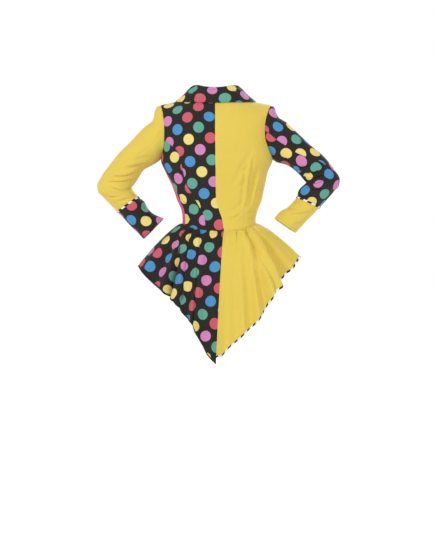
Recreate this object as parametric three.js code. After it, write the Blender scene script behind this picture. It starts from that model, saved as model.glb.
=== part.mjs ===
// Clown's tail jacket: fitted two-colour bodice, two-piece sleeves bent at the elbow, fold-over
// collar, and a gathered peplum that falls to a point at the middle of the back.
// Millimetres, +Z up. The back faces -Y, the front +Y, the wearer's left sleeve lies at -X.
// The origin is on the shoulder line, midway between the armholes, where the shoulders carry it.

import * as THREE from 'three';

// Cloth, seams and trims
const CLOTH = 1.5;
const COLLAR_CLOTH = 1.8;
const SEAM_GAP = 0.3;
const INNER_EDGE = 0.6;
const PIPING_WIDTH = 6;
const PIPING_WALL = 2;
const PIPING_LIFT = 0.8;
const BUTTON_DIAMETER = 22;
const BUTTON_HEIGHT = 4;
const BUTTON_SEAT = 0.5;
const BUTTON_HEIGHTS = [-264, -318, -372];

// Bodice
const FULLNESS = 2.35;
const UNDERARM_Z = -187;
const YOKE_Z = -97;
const PRINCESS_TOP_Z = -126;
const ARMHOLE_BACK_DEPTH = 62;
const ARMHOLE_FRONT_DEPTH = 58;
const WAIST_SIDE_Z = -402;
const WAIST_DROP = { left: 28, right: 28, front: -6 };
const FRONT_LAP = 14;
const LAP_RISE = CLOTH + 0.9;
const BREAK_Z = -212;
const LAP_TOP_Z = -240;
const LAPEL_LIFT = 0.9;

// Peplum
const GATHERS = { back: 10, front: 9 };
const GATHER_DEPTH = 3;
const GATHER_REACH = 0.5;
const SPRING_OUT = 0.36;
const SPRING_DOWN = 0.12;
const FRONT_PARTING = 14;
const TAIL_STEP = 0.972;
const GATHERS_PAST_SIDE = 1;

const SIDE = { left: -1, right: 1 };
const degrees = (angle) => THREE.MathUtils.degToRad(angle);
const mix = THREE.MathUtils.lerp;
const ease = (t) => THREE.MathUtils.smoothstep(t, 0, 1);
const point = (x, y, z) => new THREE.Vector3(x, y, z);

// A table with named columns, read at any key by a curve that never overshoots its rows.
function table(names, rows) {
  const keys = rows.map((row) => row[0]);
  const slopes = (column) => rows.map((row, i) => {
    if (i === 0 || i === rows.length - 1) {
      const a = i === 0 ? 0 : i - 1;
      return (rows[a + 1][column] - rows[a][column]) / (keys[a + 1] - keys[a]);
    }
    const before = (row[column] - rows[i - 1][column]) / (keys[i] - keys[i - 1]);
    const after = (rows[i + 1][column] - row[column]) / (keys[i + 1] - keys[i]);
    return before * after <= 0 ? 0 : (2 * before * after) / (before + after);
  });
  const tangents = names.map((name, column) => slopes(column));
  const first = keys[0];
  const last = keys[keys.length - 1];
  return (key) => {
    const k = THREE.MathUtils.clamp(key, Math.min(first, last), Math.max(first, last));
    let i = 0;
    while (i < keys.length - 2 && (k - keys[i + 1]) * (last - first) > 0) {
      i += 1;
    }
    const span = keys[i + 1] - keys[i];
    const t = (k - keys[i]) / span;
    const value = {};
    names.forEach((name, column) => {
      value[name] = hermite(rows[i][column], tangents[column][i] * span,
        rows[i + 1][column], tangents[column][i + 1] * span, t);
    });
    return value;
  };
}

function hermite(start, startSlope, end, endSlope, t) {
  const t2 = t * t;
  const t3 = t2 * t;
  return start * (2 * t3 - 3 * t2 + 1) + startSlope * (t3 - 2 * t2 + t)
    + end * (3 * t2 - 2 * t3) + endSlope * (t3 - t2);
}

// Level sections of the bodice: the middle seam, both side outlines and the two depths
const torso = table(['z', 'middle', 'left', 'right', 'back', 'front'], [
  [-97, -5, -187, 187, 112, 114],
  [-187, -4, -187, 187.6, 115, 125],
  [-232, -3.5, -170.5, 171, 108, 120],
  [-280, -3, -148, 161, 98, 110],
  [-325, -1.7, -131.5, 151, 90, 101],
  [-362, 8.4, -117, 137, 84.5, 95],
  [-392, 18.4, -114, 131, 84, 94],
  [-434, 25, -122, 134, 90, 100],
]);

// How far behind the outline the side seam runs
const sideSeam = table(['z', 'y'], [
  [-187, 0], [-235, -24], [-280, -36], [-345, -38], [-434, -38],
]);

// Armhole edges below the yoke, seen from behind and from the front
const armholeX = {
  left: table(['z', 'back', 'front'], [
    [-97, -174, -162], [-120, -174, -163], [-152, -177.5, -170], [-187, -187, -187],
  ]),
  right: table(['z', 'back', 'front'], [
    [-97, 160.5, 150], [-120, 162, 152], [-145, 169.5, 160], [-187, 187.6, 187.6],
  ]),
};
const shoulderTip = { left: point(-187, 0, -7), right: point(182, 0, -9) };

// Princess seams of the back, from the armhole to the waist
const princess = {
  left: table(['z', 'x'], [
    [-126, -174.6], [-146, -152], [-167.5, -130], [-228, -112], [-265, -105],
    [-308, -82], [-348, -58.6], [-379, -42], [-434, -33],
  ]),
  right: table(['z', 'x'], [
    [-126, 163], [-134, 148], [-146, 137], [-165, 128], [-209, 120], [-270, 108],
    [-327, 102], [-342, 97], [-434, 88],
  ]),
};

// Shoulder seam and neckline by distance from the middle
const backTop = table(['x', 'y', 'z'], [
  [0, -56, 18], [30, -52, 22], [52, -38, 31], [66, -16, 39], [72, 6, 44],
  [100, 5, 21], [136, 3, 3], [187, 0, -7],
]);
const frontTop = table(['x', 'y', 'z'], [
  [0, 84, -36], [30, 79, -26], [52, 58, 2], [66, 30, 28], [72, 6, 44],
  [100, 5, 21], [136, 3, 3], [187, 0, -7],
]);
const NECK_POINT = 72 / 187;

// Edge of the front above the break of the lapel, as a distance from the middle
const neckEdge = table(['z', 'x'], [[-212, 0], [-170, 11], [-130, 24], [-97, 36]]);
const lapelEdge = table(['z', 'x'], [[-212, 5], [-180, 30], [-140, 62], [-97, 88]]);

const power = (value, exponent) => Math.sign(value) * Math.abs(value) ** exponent;
const across = (angle) => power(Math.sin(angle), 2 / FULLNESS);
const along = (angle) => power(Math.cos(angle), 2 / FULLNESS);
const angleOfDepth = (ratio) => Math.acos(Math.min(1, ratio) ** (FULLNESS / 2));
const angleOfWidth = (ratio) => Math.asin(Math.min(1, ratio) ** (FULLNESS / 2));

// The armhole as one closed curve: turn 0 at the shoulder tip, 90 behind, 180 under the arm
function armhole(side, turn) {
  const tip = shoulderTip[side];
  const behind = turn <= 180;
  const depth = behind ? -ARMHOLE_BACK_DEPTH : ARMHOLE_FRONT_DEPTH;
  const fromTip = behind ? turn : 360 - turn;
  if (fromTip <= 90) {
    return armholeOverShoulder(side, behind, 1 - fromTip / 90, tip, depth);
  }
  const z = YOKE_Z + (YOKE_Z - UNDERARM_Z) * Math.cos(degrees(fromTip));
  const x = armholeX[side](z)[behind ? 'back' : 'front'];
  return point(x, depth * Math.sin(degrees(fromTip)), z);
}

// Slopes that make a curve turn like a quarter of an ellipse, as the cloth does at the armhole,
// and those that lead it up into the neck instead
const ROUND = 1.657;
const NECK_SPRING = { up: 1.15, over: 1.1, slope: 0.75 };

function armholeOverShoulder(side, behind, rise, tip, depth) {
  const low = armholeX[side](YOKE_Z)[behind ? 'back' : 'front'];
  return point(
    mix(low, tip.x, ease(rise)),
    hermite(depth, 0, tip.y, ROUND * (tip.y - depth), rise),
    hermite(YOKE_Z, ROUND * (tip.z - YOKE_Z), tip.z, 0, rise),
  );
}

// One level section below the yoke. Angle 0 is the middle seam behind, 180 the middle in front.
function bodiceRow(side, face, z) {
  const level = torso(z);
  const depth = level[face];
  if (z <= UNDERARM_Z) {
    const width = Math.abs(level[side] - level.middle);
    const seam = angleOfDepth(-sideSeam(z).y / level.back);
    return { middle: level.middle, width, depth, edge: face === 'back' ? seam : Math.PI - seam };
  }
  const fromTip = 180 - THREE.MathUtils.radToDeg(Math.acos((YOKE_Z - z) / (YOKE_Z - UNDERARM_Z)));
  const rim = armhole(side, face === 'back' ? fromTip : 360 - fromTip);
  const edge = angleOfDepth(Math.abs(rim.y) / depth);
  return { middle: level.middle, width: Math.abs(rim.x - level.middle) / across(edge), depth, edge };
}

function bodicePoint(side, face, angle, z) {
  const row = bodiceRow(side, face, z);
  const x = row.middle + SIDE[side] * row.width * across(angle);
  if (face === 'front') {
    const depth = angle > Math.PI / 2 ? torso(z).back : row.depth;
    return point(x, depth * along(angle), z);
  }
  return point(x, -row.depth * along(angle), z);
}

// Above the yoke level the cloth turns forwards, or backwards, over the shoulder.
// Reach 0 is the middle, 1 the armhole; rise 0 is the yoke level, 1 the shoulder seam.
function yokePoint(side, face, reach, rise) {
  const row = bodiceRow(side, face, YOKE_Z);
  const low = bodicePoint(side, face, angleOfWidth(reach * across(row.edge)), YOKE_Z);
  const tip = shoulderTip[side];
  const top = (face === 'back' ? backTop : frontTop)(reach * 187);
  const topX = mix(row.middle, tip.x, reach);
  const round = ease(reach / 0.6);
  const lift = mix(NECK_SPRING.up, ROUND, round);
  const turn = mix(NECK_SPRING.over, ROUND, round);
  const slope = mix(NECK_SPRING.slope, 0, round);
  return point(
    mix(low.x, topX, ease(rise)),
    hermite(low.y, 0, top.y, turn * (top.y - low.y), rise),
    hermite(low.z, lift * (top.z - low.z), top.z, slope * (top.z - low.z), rise),
  );
}

// Reach of a place on the yoke level, by its share of the way round or by its distance
function reachOfShare(side, face, share) {
  const { edge } = bodiceRow(side, face, YOKE_Z);
  return across(share * edge) / across(edge);
}

function reachOfDistance(side, face, distance) {
  const row = bodiceRow(side, face, YOKE_Z);
  return distance / (row.width * across(row.edge));
}

function waistZ(side, angleBehind) {
  const behind = Math.cos(angleBehind);
  if (behind > 0) {
    return WAIST_SIDE_Z - WAIST_DROP[side] * behind ** 1.5;
  }
  return WAIST_SIDE_Z - WAIST_DROP.front * behind ** 2;
}

// Solids

// Direction away from the cloth at every place of a grid, whose columns run to the right and
// whose rows run up as seen from outside
function outward(grid, ring) {
  const last = grid.length - 1;
  return grid.map((column, i) => column.map((here, j) => {
    const left = grid[ring && i === 0 ? last : Math.max(i - 1, 0)][j];
    const right = grid[ring && i === last ? 0 : Math.min(i + 1, last)][j];
    const below = column[Math.max(j - 1, 0)];
    const above = column[Math.min(j + 1, column.length - 1)];
    return right.clone().sub(left).cross(above.clone().sub(below)).normalize();
  }));
}

// Draws the edges of a grid back from its seams
function trimmed(grid, gaps = {}, ring = false) {
  const { left = 0, right = 0, bottom = 0, top = 0 } = gaps;
  const pull = (edge, inner, gap) => {
    const step = inner.clone().sub(edge);
    return edge.clone().addScaledVector(step.normalize(), gap);
  };
  const wide = grid.map((column) => {
    const n = column.length - 1;
    const shorter = column.slice();
    shorter[0] = pull(column[0], column[1], bottom);
    shorter[n] = pull(column[n], column[n - 1], top);
    return shorter;
  });
  if (ring) {
    return wide;
  }
  const m = wide.length - 1;
  const first = wide[0].map((edge, j) => pull(edge, wide[1][j], left));
  const final = wide[m].map((edge, j) => pull(edge, wide[m - 1][j], right));
  return [first, ...wide.slice(1, m), final];
}

function movedOut(grid, distance, ring = false) {
  const away = outward(grid, ring);
  return grid.map((column, i) => column.map((here, j) =>
    here.clone().addScaledVector(away[i][j], typeof distance === 'function' ? distance(i, j) : distance)));
}

// A closed wall of cloth with the grid as its outer face. Its inner edges are drawn back a
// little further than its outer ones, so that walls that meet at an angle stay apart.
function wall(grid, thickness, ring = false) {
  const edges = ring ? { bottom: INNER_EDGE, top: INNER_EDGE }
    : { left: INNER_EDGE, right: INNER_EDGE, bottom: INNER_EDGE, top: INNER_EDGE };
  const inner = trimmed(movedOut(grid, -thickness, ring), edges, ring);
  const rows = grid[0].length;
  const all = [...grid, ...inner].flat();
  const positions = all.flatMap((p) => [p.x, p.y, p.z]);
  const out = (i, j) => (i % grid.length) * rows + j;
  const back = (i, j) => (grid.length + (i % grid.length)) * rows + j;
  const faces = [];
  const quad = (a, b, c, d) => faces.push(a, b, c, a, c, d);
  const cells = ring ? grid.length : grid.length - 1;
  for (let i = 0; i < cells; i += 1) {
    for (let j = 0; j < rows - 1; j += 1) {
      const corners = [[i, j], [i + 1, j], [i + 1, j + 1], [i, j + 1]];
      const outer = corners.map(([a, b]) => out(a, b));
      const under = corners.map(([a, b]) => back(a, b));
      if (all[outer[0]].distanceTo(all[outer[2]]) > all[outer[1]].distanceTo(all[outer[3]])) {
        outer.push(outer.shift());
        under.push(under.shift());
      }
      quad(...outer);
      quad(...under.reverse());
    }
    quad(out(i, 0), back(i, 0), back(i + 1, 0), out(i + 1, 0));
    quad(out(i, rows - 1), out(i + 1, rows - 1), back(i + 1, rows - 1), back(i, rows - 1));
  }
  if (!ring) {
    const m = grid.length - 1;
    for (let j = 0; j < rows - 1; j += 1) {
      quad(out(0, j), out(0, j + 1), back(0, j + 1), back(0, j));
      quad(out(m, j), back(m, j), back(m, j + 1), out(m, j + 1));
    }
  }
  const geometry = new THREE.BufferGeometry();
  geometry.setAttribute('position', new THREE.Float32BufferAttribute(positions, 3));
  geometry.setIndex(faces);
  geometry.computeVertexNormals();
  return geometry;
}

const jacket = new THREE.Group();
jacket.name = 'clown_jacket';

const cloths = {
  dotted: { color: 0x282624, roughness: 0.85, metalness: 0 },
  yellow: { color: 0xe8d050, roughness: 0.8, metalness: 0 },
  pink: { color: 0xc85078, roughness: 0.8, metalness: 0 },
  piping: { color: 0x8c8c88, roughness: 0.8, metalness: 0 },
  edging: { color: 0x201e1e, roughness: 0.85, metalness: 0 },
  button: { color: 0x1c1a1a, roughness: 0.35, metalness: 0 },
};

function add(name, cloth, geometry) {
  const mesh = new THREE.Mesh(geometry, new THREE.MeshStandardMaterial(cloths[cloth]));
  mesh.name = name;
  jacket.add(mesh);
  return mesh;
}

const steps = (count) => Array.from({ length: count + 1 }, (unused, i) => i / count);

// A grid from a list of columns 0..1 and a list of rows, turned where its side needs it
function gridOf(columns, rows, place, turned) {
  const grid = columns.map((column) => rows.map((row) => place(column, row)));
  return turned ? grid.reverse() : grid;
}

// Back panels

const BODY_ROWS = [-385, -362, -338, -312, -285, -258, -232, -208];
const UNDERARM_ROWS = [-187, -184, -178, -168, -156, -144, -135, -130];
const YOKE_RISES = [0.2, 0.4, 0.6, 0.8, 1];
const CENTRE_ROWS = [
  'waist', ...BODY_ROWS, ...UNDERARM_ROWS, PRINCESS_TOP_Z, -112, YOKE_Z,
  ...YOKE_RISES.map((rise) => ({ rise })),
];
const SIDE_ROWS = ['waist', ...BODY_ROWS, ...UNDERARM_ROWS];

// Level at which a row's seams are read: the waist row itself dips towards the middle
const levelOf = (row) => (row === 'waist' ? WAIST_SIDE_Z - WAIST_DROP.left / 2 : row);

function princessAngle(side, z) {
  const row = bodiceRow(side, 'back', z);
  return Math.min(angleOfWidth(Math.abs(princess[side](z).x - row.middle) / row.width), row.edge);
}

function centreBackPoint(side, column, row) {
  if (row.rise !== undefined) {
    return yokePoint(side, 'back', reachOfShare(side, 'back', column), row.rise);
  }
  const z = levelOf(row);
  const limit = z >= PRINCESS_TOP_Z ? bodiceRow(side, 'back', z).edge : princessAngle(side, z);
  const angle = column * limit;
  return bodicePoint(side, 'back', angle, row === 'waist' ? waistZ(side, angle) : z);
}

function sideBackPoint(side, column, row) {
  const z = levelOf(row);
  const angle = mix(princessAngle(side, z), bodiceRow(side, 'back', z).edge, column);
  return bodicePoint(side, 'back', angle, row === 'waist' ? waistZ(side, angle) : z);
}

const seams = { left: SEAM_GAP / 2, right: SEAM_GAP / 2, bottom: SEAM_GAP / 2, top: SEAM_GAP / 2 };

for (const side of ['left', 'right']) {
  const cloth = side === 'left' ? 'dotted' : 'yellow';
  const turned = side === 'left';
  const centre = gridOf(steps(8), CENTRE_ROWS, (c, r) => centreBackPoint(side, c, r), turned);
  add(`back_${side}`, cloth, wall(trimmed(centre, seams), CLOTH));
  const flank = gridOf(steps(5), SIDE_ROWS, (c, r) => sideBackPoint(side, c, r), turned);
  add(`side_back_${side}`, cloth, wall(trimmed(flank, seams), CLOTH));
}

// Fronts

const FRONT_COLUMNS = 10;

const FRONT_ROWS = [
  'waist', ...BODY_ROWS, ...UNDERARM_ROWS, -112, YOKE_Z, ...YOKE_RISES.map((rise) => ({ rise })),
];

// Reach at which the neck edge crosses the yoke, from its low end to the neck point
function neckReach(side, rise) {
  return mix(reachOfDistance(side, 'front', neckEdge(YOKE_Z).x), NECK_POINT, rise ** 1.4);
}

function frontPoint(side, column, row) {
  if (row.rise !== undefined) {
    return yokePoint(side, 'front', mix(neckReach(side, row.rise), 1, column), row.rise);
  }
  const z = levelOf(row);
  const level = bodiceRow(side, 'front', z);
  const lap = side === 'right' && z < LAP_TOP_Z ? -FRONT_LAP : 0;
  const start = z > BREAK_Z ? neckEdge(z).x : lap;
  const angle = mix(Math.sign(start) * angleOfWidth(Math.abs(start) / level.width), level.edge, column);
  return bodicePoint(side, 'front', angle, row === 'waist' ? waistZ(side, Math.PI - angle) : z);
}

for (const side of ['left', 'right']) {
  const turned = side === 'right';
  const grid = gridOf(steps(FRONT_COLUMNS), FRONT_ROWS, (c, r) => frontPoint(side, c, r), turned);
  const lapRise = (i, j) => (j < BODY_ROWS.length ? LAP_RISE * ease((i / FRONT_COLUMNS - 0.5) / 0.3) : 0);
  const lapped = side === 'right' ? movedOut(grid, lapRise) : grid;
  add(`front_${side}`, side === 'left' ? 'pink' : 'yellow', wall(trimmed(lapped, seams), CLOTH));
}

// Lapels lie on the fronts, between the neck edge and the lapel's own edge

const LAPEL_ROWS = [-208, -187, -168, -156, -144, -130, -112, YOKE_Z, { rise: 0.2 }, { rise: 0.39 }];

function lapelPoint(side, column, row) {
  const width = lapelEdge(YOKE_Z).x;
  if (row.rise !== undefined) {
    const outer = reachOfDistance(side, 'front', width) + 0.06 * row.rise;
    return yokePoint(side, 'front', mix(neckReach(side, row.rise), outer, column), row.rise);
  }
  const level = bodiceRow(side, 'front', row);
  const from = angleOfWidth(neckEdge(row).x / level.width);
  const to = angleOfWidth(lapelEdge(row).x / level.width);
  return bodicePoint(side, 'front', mix(from, to, column), row);
}

for (const side of ['left', 'right']) {
  const grid = gridOf(steps(5), LAPEL_ROWS, (c, r) => lapelPoint(side, c, r), side === 'right');
  add(`lapel_${side}`, 'dotted', wall(movedOut(grid, CLOTH + LAPEL_LIFT), CLOTH));
}

// Collar: from the neck seam up a stand, over the roll and down its fall, by stations from the
// middle of the back to the gorge on each front. Its seam and its outer edge are given on the
// yokes: a column, and a rise that passes 1 where the shoulder seam leads on to the front.

const collarStations = table(['station', 'neckReach', 'neckRise', 'edgeReach', 'edgeRise', 'stand'], [
  [0, 0, 1, 0, 0.86, 28],
  [1, 0.11, 1, 0.14, 0.85, 28],
  [2, 0.2, 1, 0.28, 0.82, 27],
  [3, 0.28, 1, 0.42, 0.79, 25],
  [4, 0.335, 1, 0.56, 0.81, 21],
  [5, 0.37, 1, 0.67, 0.89, 17],
  [6, 0.39, 1.01, 0.73, 1, 14],
  [7, 0.38, 1.15, 0.71, 1.13, 11.5],
  [8, 0.36, 1.3, 0.67, 1.28, 10],
  [9, 0.33, 1.45, 0.62, 1.44, 9],
  [10, 0.3, 1.59, 0.57, 1.59, 8],
]);
const COLLAR_LENGTH = 10;
const COLLAR_LIFT = COLLAR_CLOTH + 1.3;
const COLLAR_EDGE_Z = { middle: -7, shoulder: 2 };
const SHOULDER_STATION = 6;
const BESIDE_NECK = 0.02;

function overShoulder(side, column, rise) {
  return rise <= 1 ? yokePoint(side, 'back', column, rise) : yokePoint(side, 'front', column, 2 - rise);
}

function awayFromYoke(side, column, rise) {
  const step = 0.02;
  const face = rise <= 1 ? 'back' : 'front';
  const at = rise <= 1 ? rise : 2 - rise;
  const here = yokePoint(side, face, column, at);
  const acrossYoke = yokePoint(side, face, column + step, at).sub(here);
  const upYoke = here.clone().sub(yokePoint(side, face, column, at - step));
  const away = acrossYoke.cross(upYoke).normalize();
  return (side === 'right') === (face === 'back') ? away : away.negate();
}

// Rise at which a column of the back yoke reaches a height
function riseAtHeight(side, column, z) {
  let low = 0;
  let high = 1;
  while (high - low > 0.001) {
    const middle = (low + high) / 2;
    if (yokePoint(side, 'back', column, middle).z < z) {
      low = middle;
    } else {
      high = middle;
    }
  }
  return low;
}

// The collar's profile at a station, from its outer edge over the roll to the neck seam
function collarProfile(side, station) {
  const at = collarStations(station);
  const onBack = station < SHOULDER_STATION;
  const height = mix(COLLAR_EDGE_Z.middle, COLLAR_EDGE_Z.shoulder, (station / SHOULDER_STATION) ** 2);
  const edgeRise = onBack ? Math.min(riseAtHeight(side, at.edgeReach, height), 0.99) : at.edgeRise;
  const neckRise = onBack ? 1 : at.neckRise;
  const start = station > SHOULDER_STATION ? neckReach(side, 2 - neckRise) : at.neckReach;
  const neck = overShoulder(side, start, neckRise);
  const toFront = ease((station - SHOULDER_STATION + 1) / 3);
  const up = point(0, 0, 1).lerp(awayFromYoke(side, start + BESIDE_NECK, neckRise), toFront).normalize();
  const away = point(neck.x, neck.y - 8, 0).normalize();
  const fall = (share) => {
    const column = mix(start, at.edgeReach, share);
    const rise = mix(neckRise, edgeRise, share);
    const lift = COLLAR_LIFT + at.stand * 0.62 * (1 - share ** 2.4);
    return overShoulder(side, column, rise).addScaledVector(awayFromYoke(side, column, rise), lift);
  };
  return [
    fall(1), fall(0.8), fall(0.55), fall(0.28),
    neck.clone().addScaledVector(up, at.stand).addScaledVector(away, 4),
    neck.clone().addScaledVector(up, at.stand - 4).addScaledVector(away, -0.5),
    neck.clone().addScaledVector(up, 1),
  ];
}

const collarColumns = [
  ...steps(COLLAR_LENGTH).slice(1).reverse().map((s) => ({ side: 'left', station: s * COLLAR_LENGTH })),
  ...steps(COLLAR_LENGTH).map((s) => ({ side: 'right', station: s * COLLAR_LENGTH })),
];
const collarGrid = collarColumns.map((column) => collarProfile(column.side, column.station));
add('collar', 'dotted', wall(collarGrid, COLLAR_CLOTH));

// Sleeves: rings between the outer and the inner outline of the arm, from the armhole to the
// end of the cuff. Ring 13 is the cuff seam.

const ringNames = ['ring', 'outerX', 'outerZ', 'innerX', 'innerZ', 'middleY', 'depth', 'hindarm'];
const sleeveRings = {
  left: table(ringNames, [
    [0, -187, -7, -187, -187, 0, 60, 90],
    [1, -199, -12, -190, -191, -1, 60, 91],
    [2, -207, -28, -194, -195, -3, 60, 92],
    [3, -213, -56, -201, -200, -6, 59, 94],
    [4, -244, -84, -216, -209, -10, 57, 97],
    [5, -286, -129, -244, -226, -16, 54, 95],
    [6, -315, -158, -257, -246, -21, 52, 82],
    [7, -357, -209, -270, -267, -27, 51, 60],
    [8, -382, -245, -278, -278, -31, 51, 36],
    [9, -398, -276, -283, -284, -32, 50, 20],
    [10, -395, -298, -280, -293, -30, 49, 16],
    [11, -379, -315, -273, -301, -26, 47, 20],
    [12, -355, -341, -266, -308, -21, 45, 26],
    [13, -331, -366, -260, -316, -16, 43, 30],
    [14, -309, -388, -241, -331, -12, 43, 32],
    [15, -288, -411, -231, -352, -9, 43, 34],
    [16, -266, -433, -212, -371, -6, 43, 35],
    [17, -244, -455, -177, -386, -4, 43, 36],
  ]),
  right: table(ringNames, [
    [0, 182, -9, 187.6, -187, 0, 60, 90],
    [1, 192, -14, 190, -191, -1, 60, 91],
    [2, 198, -30, 194, -194, -3, 60, 92],
    [3, 206, -47, 201, -198, -6, 58, 94],
    [4, 238.5, -69, 216, -202, -10, 56, 98],
    [5, 282, -113, 240, -211, -16, 53, 96],
    [6, 326, -153, 262, -227, -21, 51, 82],
    [7, 355, -178, 277, -242, -27, 50, 62],
    [8, 391, -222, 291, -258, -31, 50, 38],
    [9, 410, -256, 297, -267, -32, 49, 20],
    [10, 408, -278, 291, -275, -30, 48, 16],
    [11, 392, -297, 281, -284, -26, 46, 20],
    [12, 368, -324, 273, -297, -21, 44, 26],
    [13, 344, -351, 268, -316, -16, 42, 30],
    [14, 324, -372, 253, -334, -12, 42, 32],
    [15, 304, -392, 238, -349, -9, 42, 34],
    [16, 284, -414, 215, -362, -6, 42, 35],
    [17, 264, -435, 193, -386, -4, 42, 36],
  ]),
};
const CUFF_SEAM = 13;
const HEAD_RINGS = 4;
const FOREARM_SEAM = 265;

function sleevePoint(side, turn, ring) {
  const full = (turn + 360) % 360;
  const at = sleeveRings[side](ring);
  const outer = point(at.outerX, at.middleY, at.outerZ);
  const inner = point(at.innerX, at.middleY, at.innerZ);
  const centre = outer.clone().add(inner).multiplyScalar(0.5);
  const spoke = outer.clone().sub(centre).multiplyScalar(Math.cos(degrees(full)));
  const round = centre.clone().add(spoke).add(point(0, -at.depth * Math.sin(degrees(full)), 0));
  if (ring >= HEAD_RINGS) {
    return round;
  }
  const start = sleeveRings[side](0);
  const towardsInner = (1 - Math.cos(degrees(full))) / 2;
  const shift = point(
    mix(at.outerX - start.outerX, at.innerX - start.innerX, towardsInner),
    at.middleY,
    mix(at.outerZ - start.outerZ, at.innerZ - start.innerZ, towardsInner),
  );
  const head = armhole(side, full).add(shift);
  return head.lerp(round, ease(ring / HEAD_RINGS));
}

const SLEEVE_RINGS = [0, 0.5, 1, 2, 3, 4, 5, 6, 7, 8, 9, 10, 11, 12, 13];
const CUFF_RINGS = [13, 14, 15, 16, 17];

function sleeveGrid(side, from, to, columns, rings) {
  return rings.map((ring) => columns.map((column) => {
    const { hindarm } = sleeveRings[side](ring);
    const start = from === 'hindarm' ? hindarm : from;
    const end = to === 'hindarm' ? hindarm : to;
    return sleevePoint(side, mix(start, end, column), ring);
  }));
}

// Rings run along the arm and columns round it, so the grid is turned over for one side
function facing(side, rings) {
  const columns = rings[0].map((unused, j) => rings.map((ring) => ring[j]));
  return side === 'left' ? columns.reverse() : columns;
}

for (const side of ['left', 'right']) {
  const sleeveCloth = side === 'left' ? 'yellow' : 'dotted';
  const cuffCloth = side === 'left' ? 'dotted' : 'yellow';
  const gaps = { left: SEAM_GAP / 2, right: SEAM_GAP / 2, bottom: SEAM_GAP * 3, top: SEAM_GAP / 2 };
  const top = sleeveGrid(side, FOREARM_SEAM - 360, 'hindarm', steps(10), SLEEVE_RINGS);
  add(`sleeve_${side}_top`, sleeveCloth, wall(trimmed(facing(side, top), gaps), CLOTH));
  const under = sleeveGrid(side, 'hindarm', FOREARM_SEAM, steps(10), SLEEVE_RINGS);
  add(`sleeve_${side}_under`, sleeveCloth, wall(trimmed(facing(side, under), gaps), CLOTH));

  const round = steps(24).slice(0, -1);
  const cuff = facing(side, sleeveGrid(side, 0, 360, round, CUFF_RINGS));
  add(`cuff_${side}`, cuffCloth, wall(trimmed(cuff, { bottom: SEAM_GAP / 2 }, true), CLOTH, true));

  const halfWidth = PIPING_WIDTH / 2 / 36;
  const bandRings = [CUFF_SEAM - halfWidth, CUFF_SEAM + halfWidth];
  const band = facing(side, sleeveGrid(side, 0, 360, round, bandRings));
  const raised = movedOut(band, PIPING_WALL + PIPING_LIFT, true);
  add(`cuff_piping_${side}`, 'piping', wall(raised, PIPING_WALL, true));
}

// Peplum: stations along the waist seam, each with the place of the hem below it

const hemNames = ['station', 'x', 'y', 'z'];
const hems = {
  back_left: table(hemNames, [
    [0, -2, -186, -866], [0.1, -29, -194, -837], [0.2, -50, -186, -798], [0.3, -68, -190, -763],
    [0.38, -81, -196, -736], [0.46, -103, -160, -707], [0.55, -135, -178, -668],
    [0.63, -154, -136, -650], [0.71, -181, -150, -627], [0.8, -209, -98, -605],
    [0.9, -246, -90, -568], [1, -261, -34, -548],
  ]),
  back_right: table(hemNames, [
    [0, -2, -186, -866], [0.12, 38, -196, -815], [0.22, 66, -183, -791], [0.32, 91, -194, -768],
    [0.42, 117, -172, -744], [0.52, 139, -184, -722], [0.62, 161, -152, -684],
    [0.71, 185, -163, -645], [0.79, 216, -142, -612], [0.85, 206, -92, -598],
    [0.92, 249, -66, -560], [1, 281, -20, -515],
  ]),
  front_left: table(hemNames, [
    [0, -261, -34, -548], [0.12, -264, 8, -547], [0.25, -240, 50, -552], [0.37, -230, 98, -558],
    [0.5, -188, 118, -563], [0.62, -160, 158, -568], [0.75, -108, 160, -574],
    [0.87, -62, 190, -580], [1, 20 - FRONT_PARTING, 186, -588],
  ]),
  front_right: table(hemNames, [
    [0, 281, -20, -515], [0.12, 283, 22, -517], [0.25, 256, 62, -524], [0.37, 244, 108, -532],
    [0.5, 200, 128, -541], [0.62, 172, 164, -550], [0.75, 126, 166, -560],
    [0.87, 82, 192, -572], [1, 20 + FRONT_PARTING, 188, -588],
  ]),
};

// Top of the peplum at the waist seam: the back runs from the middle to the side seam
function waistPoint(side, face, station) {
  const seam = bodiceRow(side, 'back', WAIST_SIDE_Z).edge;
  const angle = face === 'back' ? mix(0, seam, station) : mix(seam, Math.PI, station);
  const z = waistZ(side, angle);
  return face === 'back'
    ? bodicePoint(side, 'back', angle, z)
    : bodicePoint(side, 'front', Math.PI - angle, z);
}

// The right half of the tail ends a little above the point of the left half
function hemShare(side, face, station) {
  return side === 'right' && face === 'back' ? mix(TAIL_STEP, 1, ease(station / 0.06)) : 1;
}

function peplumPoint(side, face, station, share) {
  const drop = share * hemShare(side, face, station);
  const top = waistPoint(side, face, station);
  const hem = hems[`${face}_${side}`](station);
  const out = point(hem.x - top.x, hem.y - top.y, 0);
  const bend = top.clone().addScaledVector(out, SPRING_OUT);
  bend.z += (hem.z - top.z) * SPRING_DOWN;
  const here = top.multiplyScalar((1 - drop) ** 2)
    .addScaledVector(bend, 2 * drop * (1 - drop))
    .addScaledVector(point(hem.x, hem.y, hem.z), drop * drop);
  const fade = ease(drop / 0.06) * Math.max(0, 1 - drop / GATHER_REACH) ** 1.5;
  const uneven = 1 + 0.25 * Math.sin(station * 17);
  const wave = Math.sin(2 * Math.PI * GATHERS[face] * station);
  return here.addScaledVector(out.normalize(), GATHER_DEPTH * fade * uneven * wave);
}

const PEPLUM_DROPS = [1, 0.82, 0.64, 0.46, 0.32, 0.2, 0.11, 0.04, 0];
const STEPS_A_GATHER = 4;

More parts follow.
